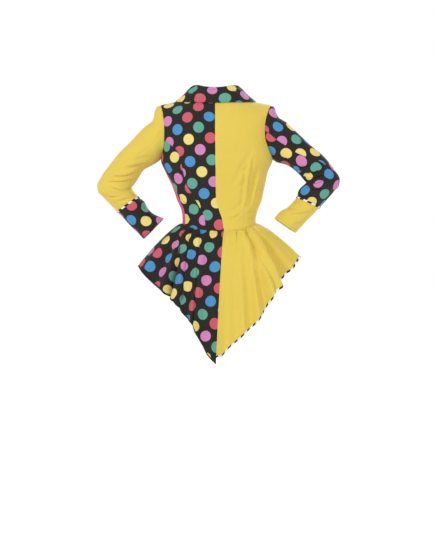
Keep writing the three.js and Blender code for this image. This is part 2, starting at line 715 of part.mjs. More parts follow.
// Share of the drop that the piping takes at a station, so that it is equally wide all along
function pipingShare(side, face, station) {
  const low = peplumPoint(side, face, station, 1);
  const high = peplumPoint(side, face, station, 0.95);
  const next = peplumPoint(side, face, Math.min(station + 0.02, 1), 1);
  const before = peplumPoint(side, face, Math.max(station - 0.02, 0), 1);
  const fall = low.clone().sub(high);
  const run = next.sub(before).normalize();
  const square = fall.clone().cross(run).length();
  return Math.min((PIPING_WIDTH * 0.05) / square, 0.12);
}

// Places round the waist from the middle of the back to the middle of the front
const stopsOf = (face) => steps(GATHERS[face] * STEPS_A_GATHER).map((station) => ({ face, station }));
const waistStops = [...stopsOf('back'), ...stopsOf('front').slice(1)];

// The back panels reach a gather past the side seams of the bodice
const LAST_BACK_STOP = (GATHERS.back + GATHERS_PAST_SIDE) * STEPS_A_GATHER;
const panelStops = {
  back: waistStops.slice(0, LAST_BACK_STOP + 1),
  front: waistStops.slice(LAST_BACK_STOP),
};

for (const side of ['left', 'right']) {
  for (const panel of ['back', 'front']) {
    const cloth = { left: { back: 'dotted', front: 'pink' }, right: { back: 'yellow', front: 'yellow' } };
    const grid = gridOf(panelStops[panel], PEPLUM_DROPS, ({ face, station }, drop) => {
      const share = pipingShare(side, face, station);
      return peplumPoint(side, face, station, Math.min(drop, 1 - share));
    }, side === 'left');
    const kept = { left: SEAM_GAP / 2, right: SEAM_GAP / 2, bottom: SEAM_GAP, top: SEAM_GAP };
    add(`peplum_${panel}_${side}`, cloth[side][panel], wall(trimmed(grid, kept), CLOTH));
  }
}

// Piping along the hem, from the middle of the back to the middle of the front

for (const side of ['left', 'right']) {
  const grid = gridOf(waistStops, [1, 0], (stop, row) => {
    const share = pipingShare(side, stop.face, stop.station);
    return peplumPoint(side, stop.face, stop.station, 1 - share * (1 - row));
  }, side === 'left');
  const raised = movedOut(grid, (PIPING_WALL - CLOTH) / 2);
  const ends = { left: SEAM_GAP / 2, right: SEAM_GAP / 2, bottom: 0, top: SEAM_GAP / 2 };
  add(`hem_piping_${side}`, side === 'left' ? 'edging' : 'piping', wall(trimmed(raised, ends), PIPING_WALL));
}

// Buttons on the lapped front, each a low dome with a rim

function buttonGeometry() {
  const r = BUTTON_DIAMETER / 2;
  const profile = [
    [0, 0], [r - 0.8, 0], [r, 0.8], [r, BUTTON_HEIGHT - 1.2], [r - 1.2, BUTTON_HEIGHT],
    [r - 3, BUTTON_HEIGHT - 0.8], [0, BUTTON_HEIGHT - 1],
  ].map(([x, y]) => new THREE.Vector2(x, y));
  return new THREE.LatheGeometry(profile, 16);
}

BUTTON_HEIGHTS.forEach((z, index) => {
  const seat = bodicePoint('right', 'front', 0, z);
  const slope = bodicePoint('right', 'front', 0, z + 5).sub(bodicePoint('right', 'front', 0, z - 5));
  const away = point(0, slope.z, -slope.y).normalize();
  const button = add(`button_${index + 1}`, 'button', buttonGeometry());
  button.quaternion.setFromUnitVectors(point(0, 1, 0), away);
  button.position.copy(seat).addScaledVector(away, LAP_RISE + BUTTON_SEAT);
});

export default jacket;
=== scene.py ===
import math

import bpy
import numpy as np
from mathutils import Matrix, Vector


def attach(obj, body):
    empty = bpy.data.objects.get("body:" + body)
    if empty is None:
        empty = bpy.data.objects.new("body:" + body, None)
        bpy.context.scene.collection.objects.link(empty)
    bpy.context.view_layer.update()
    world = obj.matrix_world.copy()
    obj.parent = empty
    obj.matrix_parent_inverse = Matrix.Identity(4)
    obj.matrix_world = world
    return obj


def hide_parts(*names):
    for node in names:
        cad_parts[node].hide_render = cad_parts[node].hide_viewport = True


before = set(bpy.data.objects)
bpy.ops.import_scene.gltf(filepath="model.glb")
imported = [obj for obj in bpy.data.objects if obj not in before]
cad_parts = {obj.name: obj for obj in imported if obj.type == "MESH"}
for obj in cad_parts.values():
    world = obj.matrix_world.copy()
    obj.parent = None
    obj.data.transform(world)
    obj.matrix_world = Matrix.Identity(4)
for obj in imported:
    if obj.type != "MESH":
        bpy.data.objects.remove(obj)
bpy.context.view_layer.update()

# Studio: a white sweep of floor under a hollow jacket that hangs at shoulder height, a level
# camera six metres behind it, and three large soft lamps with a bright room around them.
FLOOR_Z = -1.43
VIEW_HEIGHT = -0.554
VIEW_SIDE = 0.003
VIEW_DISTANCE = 6.0
VIEW_TALL = 1.799
FILM = 24.0

scene = bpy.context.scene
camera = bpy.data.objects.new("camera", bpy.data.cameras.new("camera"))
scene.collection.objects.link(camera)
camera.location = (VIEW_SIDE, -VIEW_DISTANCE, VIEW_HEIGHT)
camera.rotation_euler = (math.pi / 2, 0, 0)
camera.data.sensor_fit = "VERTICAL"
camera.data.sensor_height = FILM
camera.data.lens = FILM * VIEW_DISTANCE / VIEW_TALL
scene.camera = camera

bpy.ops.object.select_all(action="DESELECT")
bpy.ops.mesh.primitive_plane_add(size=24, location=(0, 0, FLOOR_Z))
floor = bpy.context.object
floor.name = "floor"
bpy.ops.object.transform_apply(location=True, rotation=True, scale=True)
floor_paint = bpy.data.materials.new("pale_floor")
floor_paint.use_nodes = True
floor_finish = floor_paint.node_tree.nodes["Principled BSDF"]
floor_finish.inputs["Base Color"].default_value = (0.93, 0.93, 0.93, 1)
floor_finish.inputs["Roughness"].default_value = 0.9
floor_finish.inputs["Emission Color"].default_value = (1, 1, 1, 1)
floor_finish.inputs["Emission Strength"].default_value = 0.74
floor.data.materials.append(floor_paint)
floor.visible_diffuse = False

room = bpy.data.worlds.new("bright_room")
room.use_nodes = True
walls = room.node_tree
direction = walls.nodes.new("ShaderNodeTexCoord")
upward = walls.nodes.new("ShaderNodeSeparateXYZ")
from_below = walls.nodes.new("ShaderNodeMapRange")
from_below.inputs["From Min"].default_value = -1.0
shades = walls.nodes.new("ShaderNodeValToRGB")
stops = shades.color_ramp.elements
# height from 0 straight below to 1 straight above, and how bright the room is there
for stop, (at, grey) in zip((stops[0], stops[1], *(stops.new(0.5) for _ in range(4))), (
        (0.0, 0.84), (1.0, 0.17), (0.38, 0.84), (0.43, 1.0), (0.585, 1.0), (0.66, 0.17))):
    stop.position = at
    stop.color = (grey, grey, grey, 1)
walls.links.new(direction.outputs["Generated"], upward.inputs[0])
walls.links.new(upward.outputs["Z"], from_below.inputs["Value"])
walls.links.new(from_below.outputs[0], shades.inputs["Fac"])
walls.links.new(shades.outputs[0], walls.nodes["Background"].inputs["Color"])
scene.world = room
scene.view_settings.view_transform = "Standard"

for name, place, size, power in (
    ("key", (-3.0, -3.2, 1.1), 1.0, 74),
    ("second", (3.0, -3.0, 0.8), 1.2, 39),
    ("far_side", (1.6, 3.4, 1.8), 1.6, 104),
):
    lamp = bpy.data.objects.new(name, bpy.data.lights.new(name, "AREA"))
    scene.collection.objects.link(lamp)
    lamp.data.size = size
    lamp.data.energy = power
    lamp.location = place
    aim = Vector((0, 0, -0.45)) - lamp.location
    lamp.rotation_euler = aim.to_track_quat("-Z", "Y").to_euler()


# Back of the bodice: a centre and a side panel in each half, shaped by the princess seams from
# the armholes to the waist. The left half is cut from printed cotton and the right from plain
# yellow, and each panel is cut flat, turned in at its edges and sewn to its neighbours.
MM = 0.001
CLOTH = 1.2
FULLNESS = 2.35
UNDERARM_Z = -187
YOKE_Z = -97
PRINCESS_TOP_Z = -126
WAIST_SIDE_Z = -402
WAIST_ROW_Z = -416
FIRST_ROW_Z = -385
WAIST_DROP = {"behind": 28, "front": -6}
ARMHOLE_DEPTH = {"back": -62, "front": 58}
SIGN = {"left": -1, "right": 1}
TUCK_RIDGE = 0.42
CREASE_CLEAR, SLIDE_CLEAR = 9, 26
SEAM_WIDTH = 1.9
PUCKER_HEIGHT, PUCKER_INSET, PUCKER_WIDTH = 0.35, 5, 4


def mix(a, b, t):
    return a + (b - a) * t


def ease(t):
    t = np.clip(t, 0, 1)
    return t * t * (3 - 2 * t)


def hermite(start, start_slope, end, end_slope, t):
    return (start * (2 * t**3 - 3 * t**2 + 1) + start_slope * (t**3 - 2 * t**2 + t)
            + end * (3 * t**2 - 2 * t**3) + end_slope * (t**3 - t**2))


def curve(rows):
    """A table whose first column is the key, read by a smooth curve that never overshoots."""
    rows = np.array(sorted(rows), float)
    keys, values = rows[:, 0], rows[:, 1:]
    step = np.diff(keys)
    slope = np.diff(values, axis=0) / step[:, None]
    before, after = slope[:-1], slope[1:]
    total = np.where(before * after > 0, before + after, 1)
    inner = np.where(before * after > 0, 2 * before * after / total, 0)
    slopes = np.vstack([slope[:1], inner, slope[-1:]])

    def read(key):
        key = np.clip(np.asarray(key, float), keys[0], keys[-1])
        i = np.clip(np.searchsorted(keys, key, side="right") - 1, 0, len(keys) - 2)
        t = (key - keys[i]) / step[i]
        return [hermite(values[i, c], slopes[i, c] * step[i], values[i + 1, c],
                        slopes[i + 1, c] * step[i], t) for c in range(values.shape[1])]
    return read


# z, middle seam, left and right outline, depth behind and in front
torso = curve([
    (-97, -5, -187, 187, 112, 114), (-187, -4, -187, 187.6, 115, 125),
    (-232, -3.5, -170.5, 171, 108, 120), (-280, -3, -148, 161, 98, 110),
    (-325, -1.7, -131.5, 151, 90, 101), (-362, 8.4, -117, 137, 84.5, 95),
    (-392, 18.4, -114, 131, 84, 94), (-434, 25, -122, 134, 90, 100),
])
side_seam = curve([(-187, 0), (-235, -24), (-280, -36), (-345, -38), (-434, -38)])
# z, armhole edge behind and in front
armhole_x = {
    "left": curve([(-97, -174, -162), (-120, -174, -163), (-152, -177.5, -170),
                   (-187, -187, -187)]),
    "right": curve([(-97, 160.5, 150), (-120, 162, 152), (-145, 169.5, 160),
                    (-187, 187.6, 187.6)]),
}
shoulder_tip = {"left": (-187, 0, -7), "right": (182, 0, -9)}
princess = {
    "left": curve([(-126, -174.6), (-146, -152), (-167.5, -130), (-228, -112), (-265, -105),
                   (-308, -82), (-348, -58.6), (-379, -42), (-434, -33)]),
    "right": curve([(-126, 163), (-134, 148), (-146, 137), (-165, 128), (-209, 120),
                    (-270, 108), (-327, 102), (-342, 97), (-434, 88)]),
}
# distance from the middle, y, z of the neckline and the shoulder seam
yoke_top = {
    "back": curve([(0, -56, 18), (30, -52, 22), (52, -38, 31), (66, -16, 39), (72, 6, 44),
                   (100, 5, 21), (136, 3, 3), (187, 0, -7)]),
    "front": curve([(0, 84, -36), (30, 79, -26), (52, 58, 2), (66, 30, 28), (72, 6, 44),
                    (100, 5, 21), (136, 3, 3), (187, 0, -7)]),
}
ROUND = 1.657
NECK_UP, NECK_OVER, NECK_SLOPE = 1.15, 1.1, 0.75


def across(angle):
    return np.sign(np.sin(angle)) * np.abs(np.sin(angle)) ** (2 / FULLNESS)


def along(angle):
    return np.sign(np.cos(angle)) * np.abs(np.cos(angle)) ** (2 / FULLNESS)


def angle_of_depth(ratio):
    return np.arccos(np.clip(ratio, 0, 1) ** (FULLNESS / 2))


def angle_of_width(ratio):
    return np.arcsin(np.clip(ratio, 0, 1) ** (FULLNESS / 2))


def armhole(side, turn):
    """The armhole's edge: turn 0 at the shoulder tip, 90 behind, 180 under the arm."""
    turn = np.asarray(turn, float) % 360
    behind = turn <= 180
    depth = np.where(behind, ARMHOLE_DEPTH["back"], ARMHOLE_DEPTH["front"])
    from_tip = np.where(behind, turn, 360 - turn)
    tip = shoulder_tip[side]
    low_back, low_front = armhole_x[side](YOKE_Z)
    rise = 1 - np.minimum(from_tip, 90) / 90
    over = (mix(np.where(behind, low_back, low_front), tip[0], ease(rise)),
            hermite(depth, 0, tip[1], ROUND * (tip[1] - depth), rise),
            hermite(YOKE_Z, ROUND * (tip[2] - YOKE_Z), tip[2], 0, rise))
    z = YOKE_Z + (YOKE_Z - UNDERARM_Z) * np.cos(np.radians(from_tip))
    edge_back, edge_front = armhole_x[side](z)
    under = (np.where(behind, edge_back, edge_front), depth * np.sin(np.radians(from_tip)), z)
    return [np.where(from_tip <= 90, a, b) for a, b in zip(over, under)]


def level(side, face, z):
    """Middle, half width, depth and angle of the panel's outer edge at a height."""
    z = np.asarray(z, float)
    middle, left, right, back, front = torso(z)
    depth = back if face == "back" else front
    seam = angle_of_depth(-side_seam(z)[0] / back)
    low_edge = seam if face == "back" else math.pi - seam
    low_width = np.abs((left if side == "left" else right) - middle)
    from_tip = 180 - np.degrees(np.arccos(np.clip((YOKE_Z - z) / (YOKE_Z - UNDERARM_Z), 0, 1)))
    rim_x, rim_y, _ = armhole(side, from_tip if face == "back" else 360 - from_tip)
    high_edge = angle_of_depth(np.abs(rim_y) / depth)
    high_width = np.abs(rim_x - middle) / across(high_edge)
    low = z <= UNDERARM_Z
    return middle, np.where(low, low_width, high_width), depth, np.where(low, low_edge, high_edge)


def bodice(side, face, angle, z):
    middle, width, depth, _ = level(side, face, z)
    x = middle + SIGN[side] * width * across(angle)
    if face == "front":
        depth = np.where(np.asarray(angle) > math.pi / 2, torso(z)[3], depth)
        return np.stack(np.broadcast_arrays(x, depth * along(angle), z), -1)
    return np.stack(np.broadcast_arrays(x, -depth * along(angle), z), -1)


def yoke(side, face, reach, rise):
    """Over the shoulder: reach 0 is the middle and 1 the armhole, rise 1 the shoulder seam."""
    middle, _, _, edge = level(side, face, YOKE_Z)
    low = bodice(side, face, angle_of_width(reach * across(edge)), YOKE_Z)
    top_y, top_z = yoke_top[face](reach * 187)
    shoulder = ease(reach / 0.6)
    lift, turn = mix(NECK_UP, ROUND, shoulder), mix(NECK_OVER, ROUND, shoulder)
    x = mix(low[..., 0], mix(middle, shoulder_tip[side][0], reach), ease(rise))
    y = hermite(low[..., 1], 0, top_y, turn * (top_y - low[..., 1]), rise)
    z = hermite(low[..., 2], lift * (top_z - low[..., 2]), top_z,
                mix(NECK_SLOPE, 0, shoulder) * (top_z - low[..., 2]), rise)
    return np.stack(np.broadcast_arrays(x, y, z), -1)


def waist_z(angle):
    """The waist seam drops behind and rises a little in front; angle 0 is the middle behind."""
    behind = np.cos(angle)
    return np.where(behind > 0, WAIST_SIDE_Z - WAIST_DROP["behind"] * np.abs(behind) ** 1.5,
                    WAIST_SIDE_Z - WAIST_DROP["front"] * behind**2)


def close_at_ends(count):
    """Places from 0 to 1 that crowd together at both ends, where a seam's edge turns in."""
    t = np.linspace(0, 1, count + 1)
    return mix(t, (1 - np.cos(math.pi * t)) / 2, 0.7)


def outward(points, ring=False):
    """Directions away from the cloth; columns run right and rows up as seen from outside."""
    if ring:
        right = np.roll(points, -1, 0) - np.roll(points, 1, 0)
    else:
        right = np.gradient(points, axis=0)
    away = np.cross(right, np.gradient(points, axis=1))
    return away / np.maximum(np.linalg.norm(away, axis=-1, keepdims=True), 1e-9)


def edge_distance(points, ring=False):
    """Distance along the cloth from every place to its panel's nearest edge."""
    up = np.linalg.norm(np.diff(points, axis=1), axis=-1)
    up = np.pad(np.cumsum(up, 1), ((0, 0), (1, 0)))
    near = np.minimum(up, up[:, -1:] - up)
    if ring:
        return near
    over = np.linalg.norm(np.diff(points, axis=0), axis=-1)
    over = np.pad(np.cumsum(over, 0), ((1, 0), (0, 0)))
    return np.minimum(near, np.minimum(over, over[-1:] - over))


def pressed(points, creases, ring=False, seam_depth=0.9, rumple=0.5):
    """Cloth as it has been worn: creases, slight waves, and edges drawn into the seams. A crease
    is its face, -1 behind or 1 in front, its line (x, z), its depth, its width, and how far the
    cloth on the left of the line slides over it."""
    away = outward(points, ring)
    rise = np.zeros(points.shape[:2])
    slide = np.zeros(points.shape)
    x, y, z = np.moveaxis(points, -1, 0)
    for face, line, depth, width, tuck in creases:
        line = np.array(line, float)
        best = np.full(x.shape, 1e9)
        beside, fade, over_x, over_z = (np.zeros(x.shape) for _ in range(4))
        length = np.concatenate([[0], np.cumsum(np.linalg.norm(np.diff(line, axis=0), axis=1))])
        for a, b, begun in zip(line[:-1], line[1:], length):
            run = np.linalg.norm(b - a)
            t = np.clip(((x - a[0]) * (b[0] - a[0]) + (z - a[1]) * (b[1] - a[1])) / run**2, 0, 1)
            off_x, off_z = x - mix(a[0], b[0], t), z - mix(a[1], b[1], t)
            gap = np.hypot(off_x, off_z)
            nearer = gap < best
            left = (off_z * (b[0] - a[0]) - off_x * (b[1] - a[1])) / run
            share = (begun + t * run) / length[-1]
            beside = np.where(nearer, gap * np.sign(left), beside)
            fade = np.where(nearer, np.sin(math.pi * np.clip(share, 0, 1)) ** 0.7, fade)
            over_x = np.where(nearer, (b[1] - a[1]) / run, over_x)
            over_z = np.where(nearer, (a[0] - b[0]) / run, over_z)
            best = np.minimum(best, gap)
        q = beside / width
        strength = fade * np.clip(face * away[..., 1] * 2.5, 0, 1)
        rise -= depth * (1 - 1.1 * q * q) * np.exp(-q * q) * strength
        if tuck:
            rise += TUCK_RIDGE * tuck * np.exp(-(((q - 0.9) / 0.8) ** 2)) * strength
            amount = tuck * np.exp(-((q - 0.9) ** 2)) * strength
            slide[..., 0] += over_x * amount
            slide[..., 2] += over_z * amount
    slide -= away * (slide * away).sum(-1, keepdims=True)
    rise += rumple * (np.sin(x / 19 + z / 31) * np.sin(z / 23 - x / 37 + y / 29)
                      + 0.6 * np.sin(x / 9 - z / 15 + 1.3) * np.sin(z / 11 + y / 13))
    edge = edge_distance(points, ring)
    pucker = PUCKER_HEIGHT * np.sin((x + y + z) / 3.1) * np.sin(z / 17 + x / 21)
    pucker *= np.exp(-(((edge - PUCKER_INSET) / PUCKER_WIDTH) ** 2))
    rise = rise * ease(edge / CREASE_CLEAR) + pucker
    rise -= seam_depth * np.exp(-((edge / SEAM_WIDTH) ** 2))
    return points + away * rise[..., None] + slide * ease(edge / SLIDE_CLEAR)[..., None]


def only(piece):
    bpy.ops.object.select_all(action="DESELECT")
    piece.select_set(True)
    bpy.context.view_layer.objects.active = piece


def new_piece(name, mesh):
    piece = bpy.data.objects.new(name, mesh)
    scene.collection.objects.link(piece)
    only(piece)
    return piece


def flatten(piece, ring_rows):
    """Unrolls the cloth to its flat cut, in metres, in the UV map that the print lies on. A ring
    is cut open along its first column, of so many rows."""
    for edge in piece.data.edges:
        edge.use_seam = max(edge.vertices) < ring_rows
    bpy.ops.object.mode_set(mode="EDIT")
    bpy.ops.mesh.select_all(action="SELECT")
    bpy.ops.uv.unwrap(method="MINIMUM_STRETCH", margin=0, correct_aspect=False, iterations=8)
    bpy.ops.object.mode_set(mode="OBJECT")
    mesh = piece.data
    uv = np.empty(len(mesh.loops) * 2)
    mesh.uv_layers[0].data.foreach_get("uv", uv)
    uv = uv.reshape(-1, 4, 2)
    ahead, back = uv[:, 2] - uv[:, 0], uv[:, 3] - uv[:, 1]
    drawn = np.abs(ahead[:, 0] * back[:, 1] - ahead[:, 1] * back[:, 0]).sum() / 2
    area = sum(face.area for face in mesh.polygons)
    uv *= math.sqrt(area / drawn)
    mesh.uv_layers[0].data.foreach_set("uv", uv.ravel())
    return uv.reshape(-1, 2), area


def lay_print(piece, uv, dot, chart, towards, steps, face=-1):
    """Turns the flat cut so that one dot of the print falls on a place and another dot, so many
    steps along and up the rows, lies towards a second place. Places are x and z, seen from
    behind for face -1 and from the front for face 1; chart is the first dot's in the repeat."""
    mesh = piece.data
    corner = np.empty(len(mesh.loops), int)
    mesh.loops.foreach_get("vertex_index", corner)
    place = np.array([v.co for v in mesh.vertices])
    away = np.array([v.normal for v in mesh.vertices])

    def nearest(x, z):
        gap = np.hypot(place[:, 0] - x * MM, place[:, 2] - z * MM) + (away[:, 1] * face < 0) * 9
        return uv[np.argmin(gap[corner])]
    start, end = nearest(*dot), nearest(*towards)
    turn = math.atan2(steps[1], steps[0]) - math.atan2(end[1] - start[1], end[0] - start[0])
    spin = np.array([[math.cos(turn), math.sin(turn)], [-math.sin(turn), math.cos(turn)]])
    laid = (uv - start) @ spin + np.array(chart) * DOT_PITCH
    mesh.uv_layers[0].data.foreach_set("uv", laid.ravel())


def cut_and_sew(node, points, cloth, slot, ring=False, wall=CLOTH, laid=None):
    """One sewn piece: its cloth, face and reverse, as a thin closed shell on its solid's form."""
    columns, rows = points.shape[:2]
    index = np.arange(columns * rows).reshape(columns, rows)
    if ring:
        index = np.vstack([index, index[:1]])
    faces = np.stack([index[:-1, :-1], index[1:, :-1], index[1:, 1:], index[:-1, 1:]], -1)
    mesh = bpy.data.meshes.new(node + "_cloth")
    mesh.from_pydata((points.reshape(-1, 3) * MM).tolist(), [], faces.reshape(-1, 4).tolist())
    mesh.uv_layers.new(name="cut")
    piece = new_piece(node + "_cloth", mesh)
    uv, area = flatten(piece, rows if ring else 0)
    if laid:
        lay_print(piece, uv, *laid)
    width, length = np.ptp(uv, axis=0)
    for side_of_cloth in cloth:
        mesh.materials.append(side_of_cloth)
    shell = piece.modifiers.new("thickness", "SOLIDIFY")
    shell.material_offset = 1
    shell.thickness = wall * MM
    shell.offset = -1
    shell.use_even_offset = False
    bpy.ops.object.modifier_apply(modifier=shell.name)
    bpy.ops.object.shade_smooth_by_angle(angle=math.radians(62))
    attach(piece, "root")
    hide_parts(node)


def add_node(tree, kind, settings=None, inputs=None):
    """A shader node; each input is a number or colour, or the socket that feeds it."""
    made = tree.nodes.new("ShaderNode" + kind)
    for key, value in (settings or {}).items():
        setattr(made, key, value)
    for key, value in (inputs or {}).items():
        if isinstance(value, bpy.types.NodeSocket):
            tree.links.new(value, made.inputs[key])
        else:
            made.inputs[key].default_value = value
    return made


def calculate(tree, operation, a, b=0.0, c=0.0):
    return add_node(tree, "Math", {"operation": operation}, {0: a, 1: b, 2: c}).outputs[0]


def blend_of(tree, factor, first, second):
    return add_node(tree, "Mix", {"data_type": "RGBA"},
                    {"Factor": factor, 6: first, 7: second}).outputs[2]


def new_material(name):
    """A material, its nodes, its surface shader and the piece's own coordinates."""
    material = bpy.data.materials.new(name)
    material.use_nodes = True
    tree = material.node_tree
    place = add_node(tree, "TexCoord").outputs["Object"]
    return material, tree, tree.nodes["Principled BSDF"], place


YARN_REPEAT = 0.0011


def woven(name, colour_of, roughness=0.82, sheen=0.25):
    """Plain-woven cotton: threads over and under, thicker ones here and there, slight fading."""
    material, tree, finish, place = new_material(name)
    cut = add_node(tree, "UVMap", {"uv_map": "cut"}).outputs[0]
    flat = add_node(tree, "SeparateXYZ", inputs={0: cut})
    turns = 2 * math.pi / YARN_REPEAT
    warp = calculate(tree, "SINE", calculate(tree, "MULTIPLY", flat.outputs[0], turns))
    weft = calculate(tree, "SINE", calculate(tree, "MULTIPLY", flat.outputs[1], turns))
    weave = calculate(tree, "MULTIPLY", warp, weft)
    slubs = []
    for stretch in ((60, 1100, 1), (1100, 60, 1)):
        yarn = add_node(tree, "Mapping", inputs={"Vector": cut, "Scale": stretch})
        noise = add_node(tree, "TexNoise", {"noise_dimensions": "2D"},
                         {"Vector": yarn.outputs[0], "Scale": 1.0, "Detail": 1.0})
        slubs.append(noise.outputs[0])
    slub = calculate(tree, "ADD", slubs[0], slubs[1])
    fading = add_node(tree, "TexNoise", None, {"Vector": place, "Scale": 14.0, "Detail": 3.0})
    faded = calculate(tree, "MULTIPLY_ADD", fading.outputs[0], 0.05, 0.975)
    yarn_shade = calculate(tree, "MULTIPLY_ADD", slub, 0.07, 0.93)
    shade = calculate(tree, "MULTIPLY", faded, yarn_shade)
    tinted = add_node(tree, "VectorMath", {"operation": "SCALE"},
                      {0: colour_of(tree, cut), "Scale": shade})
    tree.links.new(tinted.outputs[0], finish.inputs["Base Color"])
    relief = calculate(tree, "MULTIPLY_ADD", slub, 0.8, weave)
    bump = add_node(tree, "Bump", None, {"Strength": 0.3, "Distance": 0.00012, "Height": relief})
    tree.links.new(bump.outputs[0], finish.inputs["Normal"])
    finish.inputs["Roughness"].default_value = roughness
    finish.inputs["Specular IOR Level"].default_value = 0.25
    finish.inputs["Sheen Weight"].default_value = sheen
    finish.inputs["Sheen Roughness"].default_value = 0.45
    return material


def srgb(red, green, blue):
    def linear(value):
        value /= 255
        return value / 12.92 if value <= 0.04045 else ((value + 0.055) / 1.055) ** 2.4
    return (linear(red), linear(green), linear(blue), 1)


DOT_PITCH = 0.0517
DOT_RADIUS = 0.0182
DYES = {
    "B": srgb(70, 142, 194), "G": srgb(92, 162, 142), "Y": srgb(230, 210, 120),
    "R": srgb(200, 88, 104), "P": srgb(204, 128, 180),
}
PRINT_REPEAT = ("GRGRYY", "YRBPGB", "GPRBYP", "PBYPGB")
BLACK = srgb(34, 30, 27)


def printed(tree, cut):
    """Black cotton printed with round dots in square rows, their colours in a short repeat."""
    grid = add_node(tree, "VectorMath", {"operation": "SCALE"}, {0: cut, "Scale": 1 / DOT_PITCH})
    half = add_node(tree, "VectorMath", {"operation": "ADD"},
                    {0: grid.outputs[0], 1: (0.5, 0.5, 0)})
    cell = add_node(tree, "VectorMath", {"operation": "FLOOR"}, {0: half.outputs[0]})
    within = add_node(tree, "VectorMath", {"operation": "SUBTRACT"},
                      {0: grid.outputs[0], 1: cell.outputs[0]})
    spread = add_node(tree, "VectorMath", {"operation": "LENGTH"}, {0: within.outputs[0]})
    bleed = add_node(tree, "TexNoise", {"noise_dimensions": "2D"},
                     {"Vector": cut, "Scale": 420.0, "Detail": 2.0})
    edge = calculate(tree, "MULTIPLY_ADD", bleed.outputs[0], 0.018, spread.outputs["Value"])
    covered = add_node(tree, "MapRange", None, {
        "Value": edge, "From Min": DOT_RADIUS / DOT_PITCH - 0.004,
        "From Max": DOT_RADIUS / DOT_PITCH + 0.016, "To Min": 1.0, "To Max": 0.0})
    which = add_node(tree, "SeparateXYZ", inputs={0: cell.outputs[0]})
    wide, tall = len(PRINT_REPEAT[0]), len(PRINT_REPEAT)
    column = calculate(tree, "FLOORED_MODULO", which.outputs[0], float(wide))
    row = calculate(tree, "FLOORED_MODULO", which.outputs[1], float(tall))
    step = calculate(tree, "MULTIPLY_ADD", row, float(wide), column)
    share = calculate(tree, "DIVIDE", calculate(tree, "ADD", step, 0.5), float(wide * tall))
    dyes = add_node(tree, "ValToRGB", inputs={"Fac": share})
    dyes.color_ramp.interpolation = "CONSTANT"
    stops = dyes.color_ramp.elements
    for place, letter in enumerate("".join(PRINT_REPEAT)):
        stop = stops[0] if place == 0 else stops.new(place / (wide * tall))
        stop.color = DYES[letter]
    stops.remove(stops[-1])
    return blend_of(tree, covered.outputs[0], BLACK, dyes.outputs[0])


def plain(colour):
    def colour_of(tree, cut):
        warmer = (colour[0] * 1.02, colour[1] * 0.97, colour[2] * 0.86, 1)
        patches = add_node(tree, "TexNoise", None, {"Vector": cut, "Scale": 9.0, "Detail": 2.0})
        return blend_of(tree, patches.outputs[0], colour, warmer)
    return colour_of


def line_beside(points, edge, inset, ring=False):
    """A line on the cloth at one distance from an edge of its panel, and the way out there."""
    away = outward(points, ring)
    if edge in ("left", "right"):
        points, away = points.transpose(1, 0, 2), away.transpose(1, 0, 2)
    if edge in ("right", "top"):
        points, away = points[:, ::-1], away[:, ::-1]
    run = np.linalg.norm(np.diff(points, axis=1), axis=-1)
    run = np.pad(np.cumsum(run, 1), ((0, 0), (1, 0)))
    return [np.array([[np.interp(inset, along_row, part[i, :, c]) for c in range(3)]
                      for i, along_row in enumerate(run)]) for part in (points, away)]


STITCH_PITCH, STITCH_LENGTH, STITCH_THICK = 3.0, 2.2, 0.55
bpy.ops.object.select_all(action="DESELECT")
bpy.ops.mesh.primitive_uv_sphere_add(segments=6, ring_count=5, radius=0.5,
                                     rotation=(0, math.pi / 2, 0))
one_stitch = bpy.context.object
bpy.ops.object.transform_apply(location=True, rotation=True, scale=True)
stitch_points = np.array([v.co for v in one_stitch.data.vertices])
stitch_faces = [list(face.vertices) for face in one_stitch.data.polygons]
bpy.ops.object.delete()
sewn_on = {}


def thread(name, colour):
    """Twisted sewing thread with a slight shine: its slanting plies are drawn as bands of painted
    shade, darker where the grooves between them would lie.
    """
    material, tree, finish, place = new_material(name)
    plies = add_node(tree, "TexWave", {"bands_direction": "DIAGONAL"},
                     {"Vector": place, "Scale": 900.0, "Distortion": 1.0})
    # painted shade: the thread is one colour, and the darker bands stand in for shade in the
    # grooves between its plies
    ply_groove_shade = tuple(c * 0.7 for c in colour[:3]) + (1,)
    tree.links.new(blend_of(tree, plies.outputs["Fac"], ply_groove_shade, colour),
                   finish.inputs["Base Color"])
    finish.inputs["Roughness"].default_value = 0.55
    finish.inputs["Sheen Weight"].default_value = 0.2
    return material


threads = {"dotted_cloth": thread("black_thread", srgb(36, 33, 32)),
           "yellow_cloth": thread("yellow_thread", srgb(196, 166, 56))}


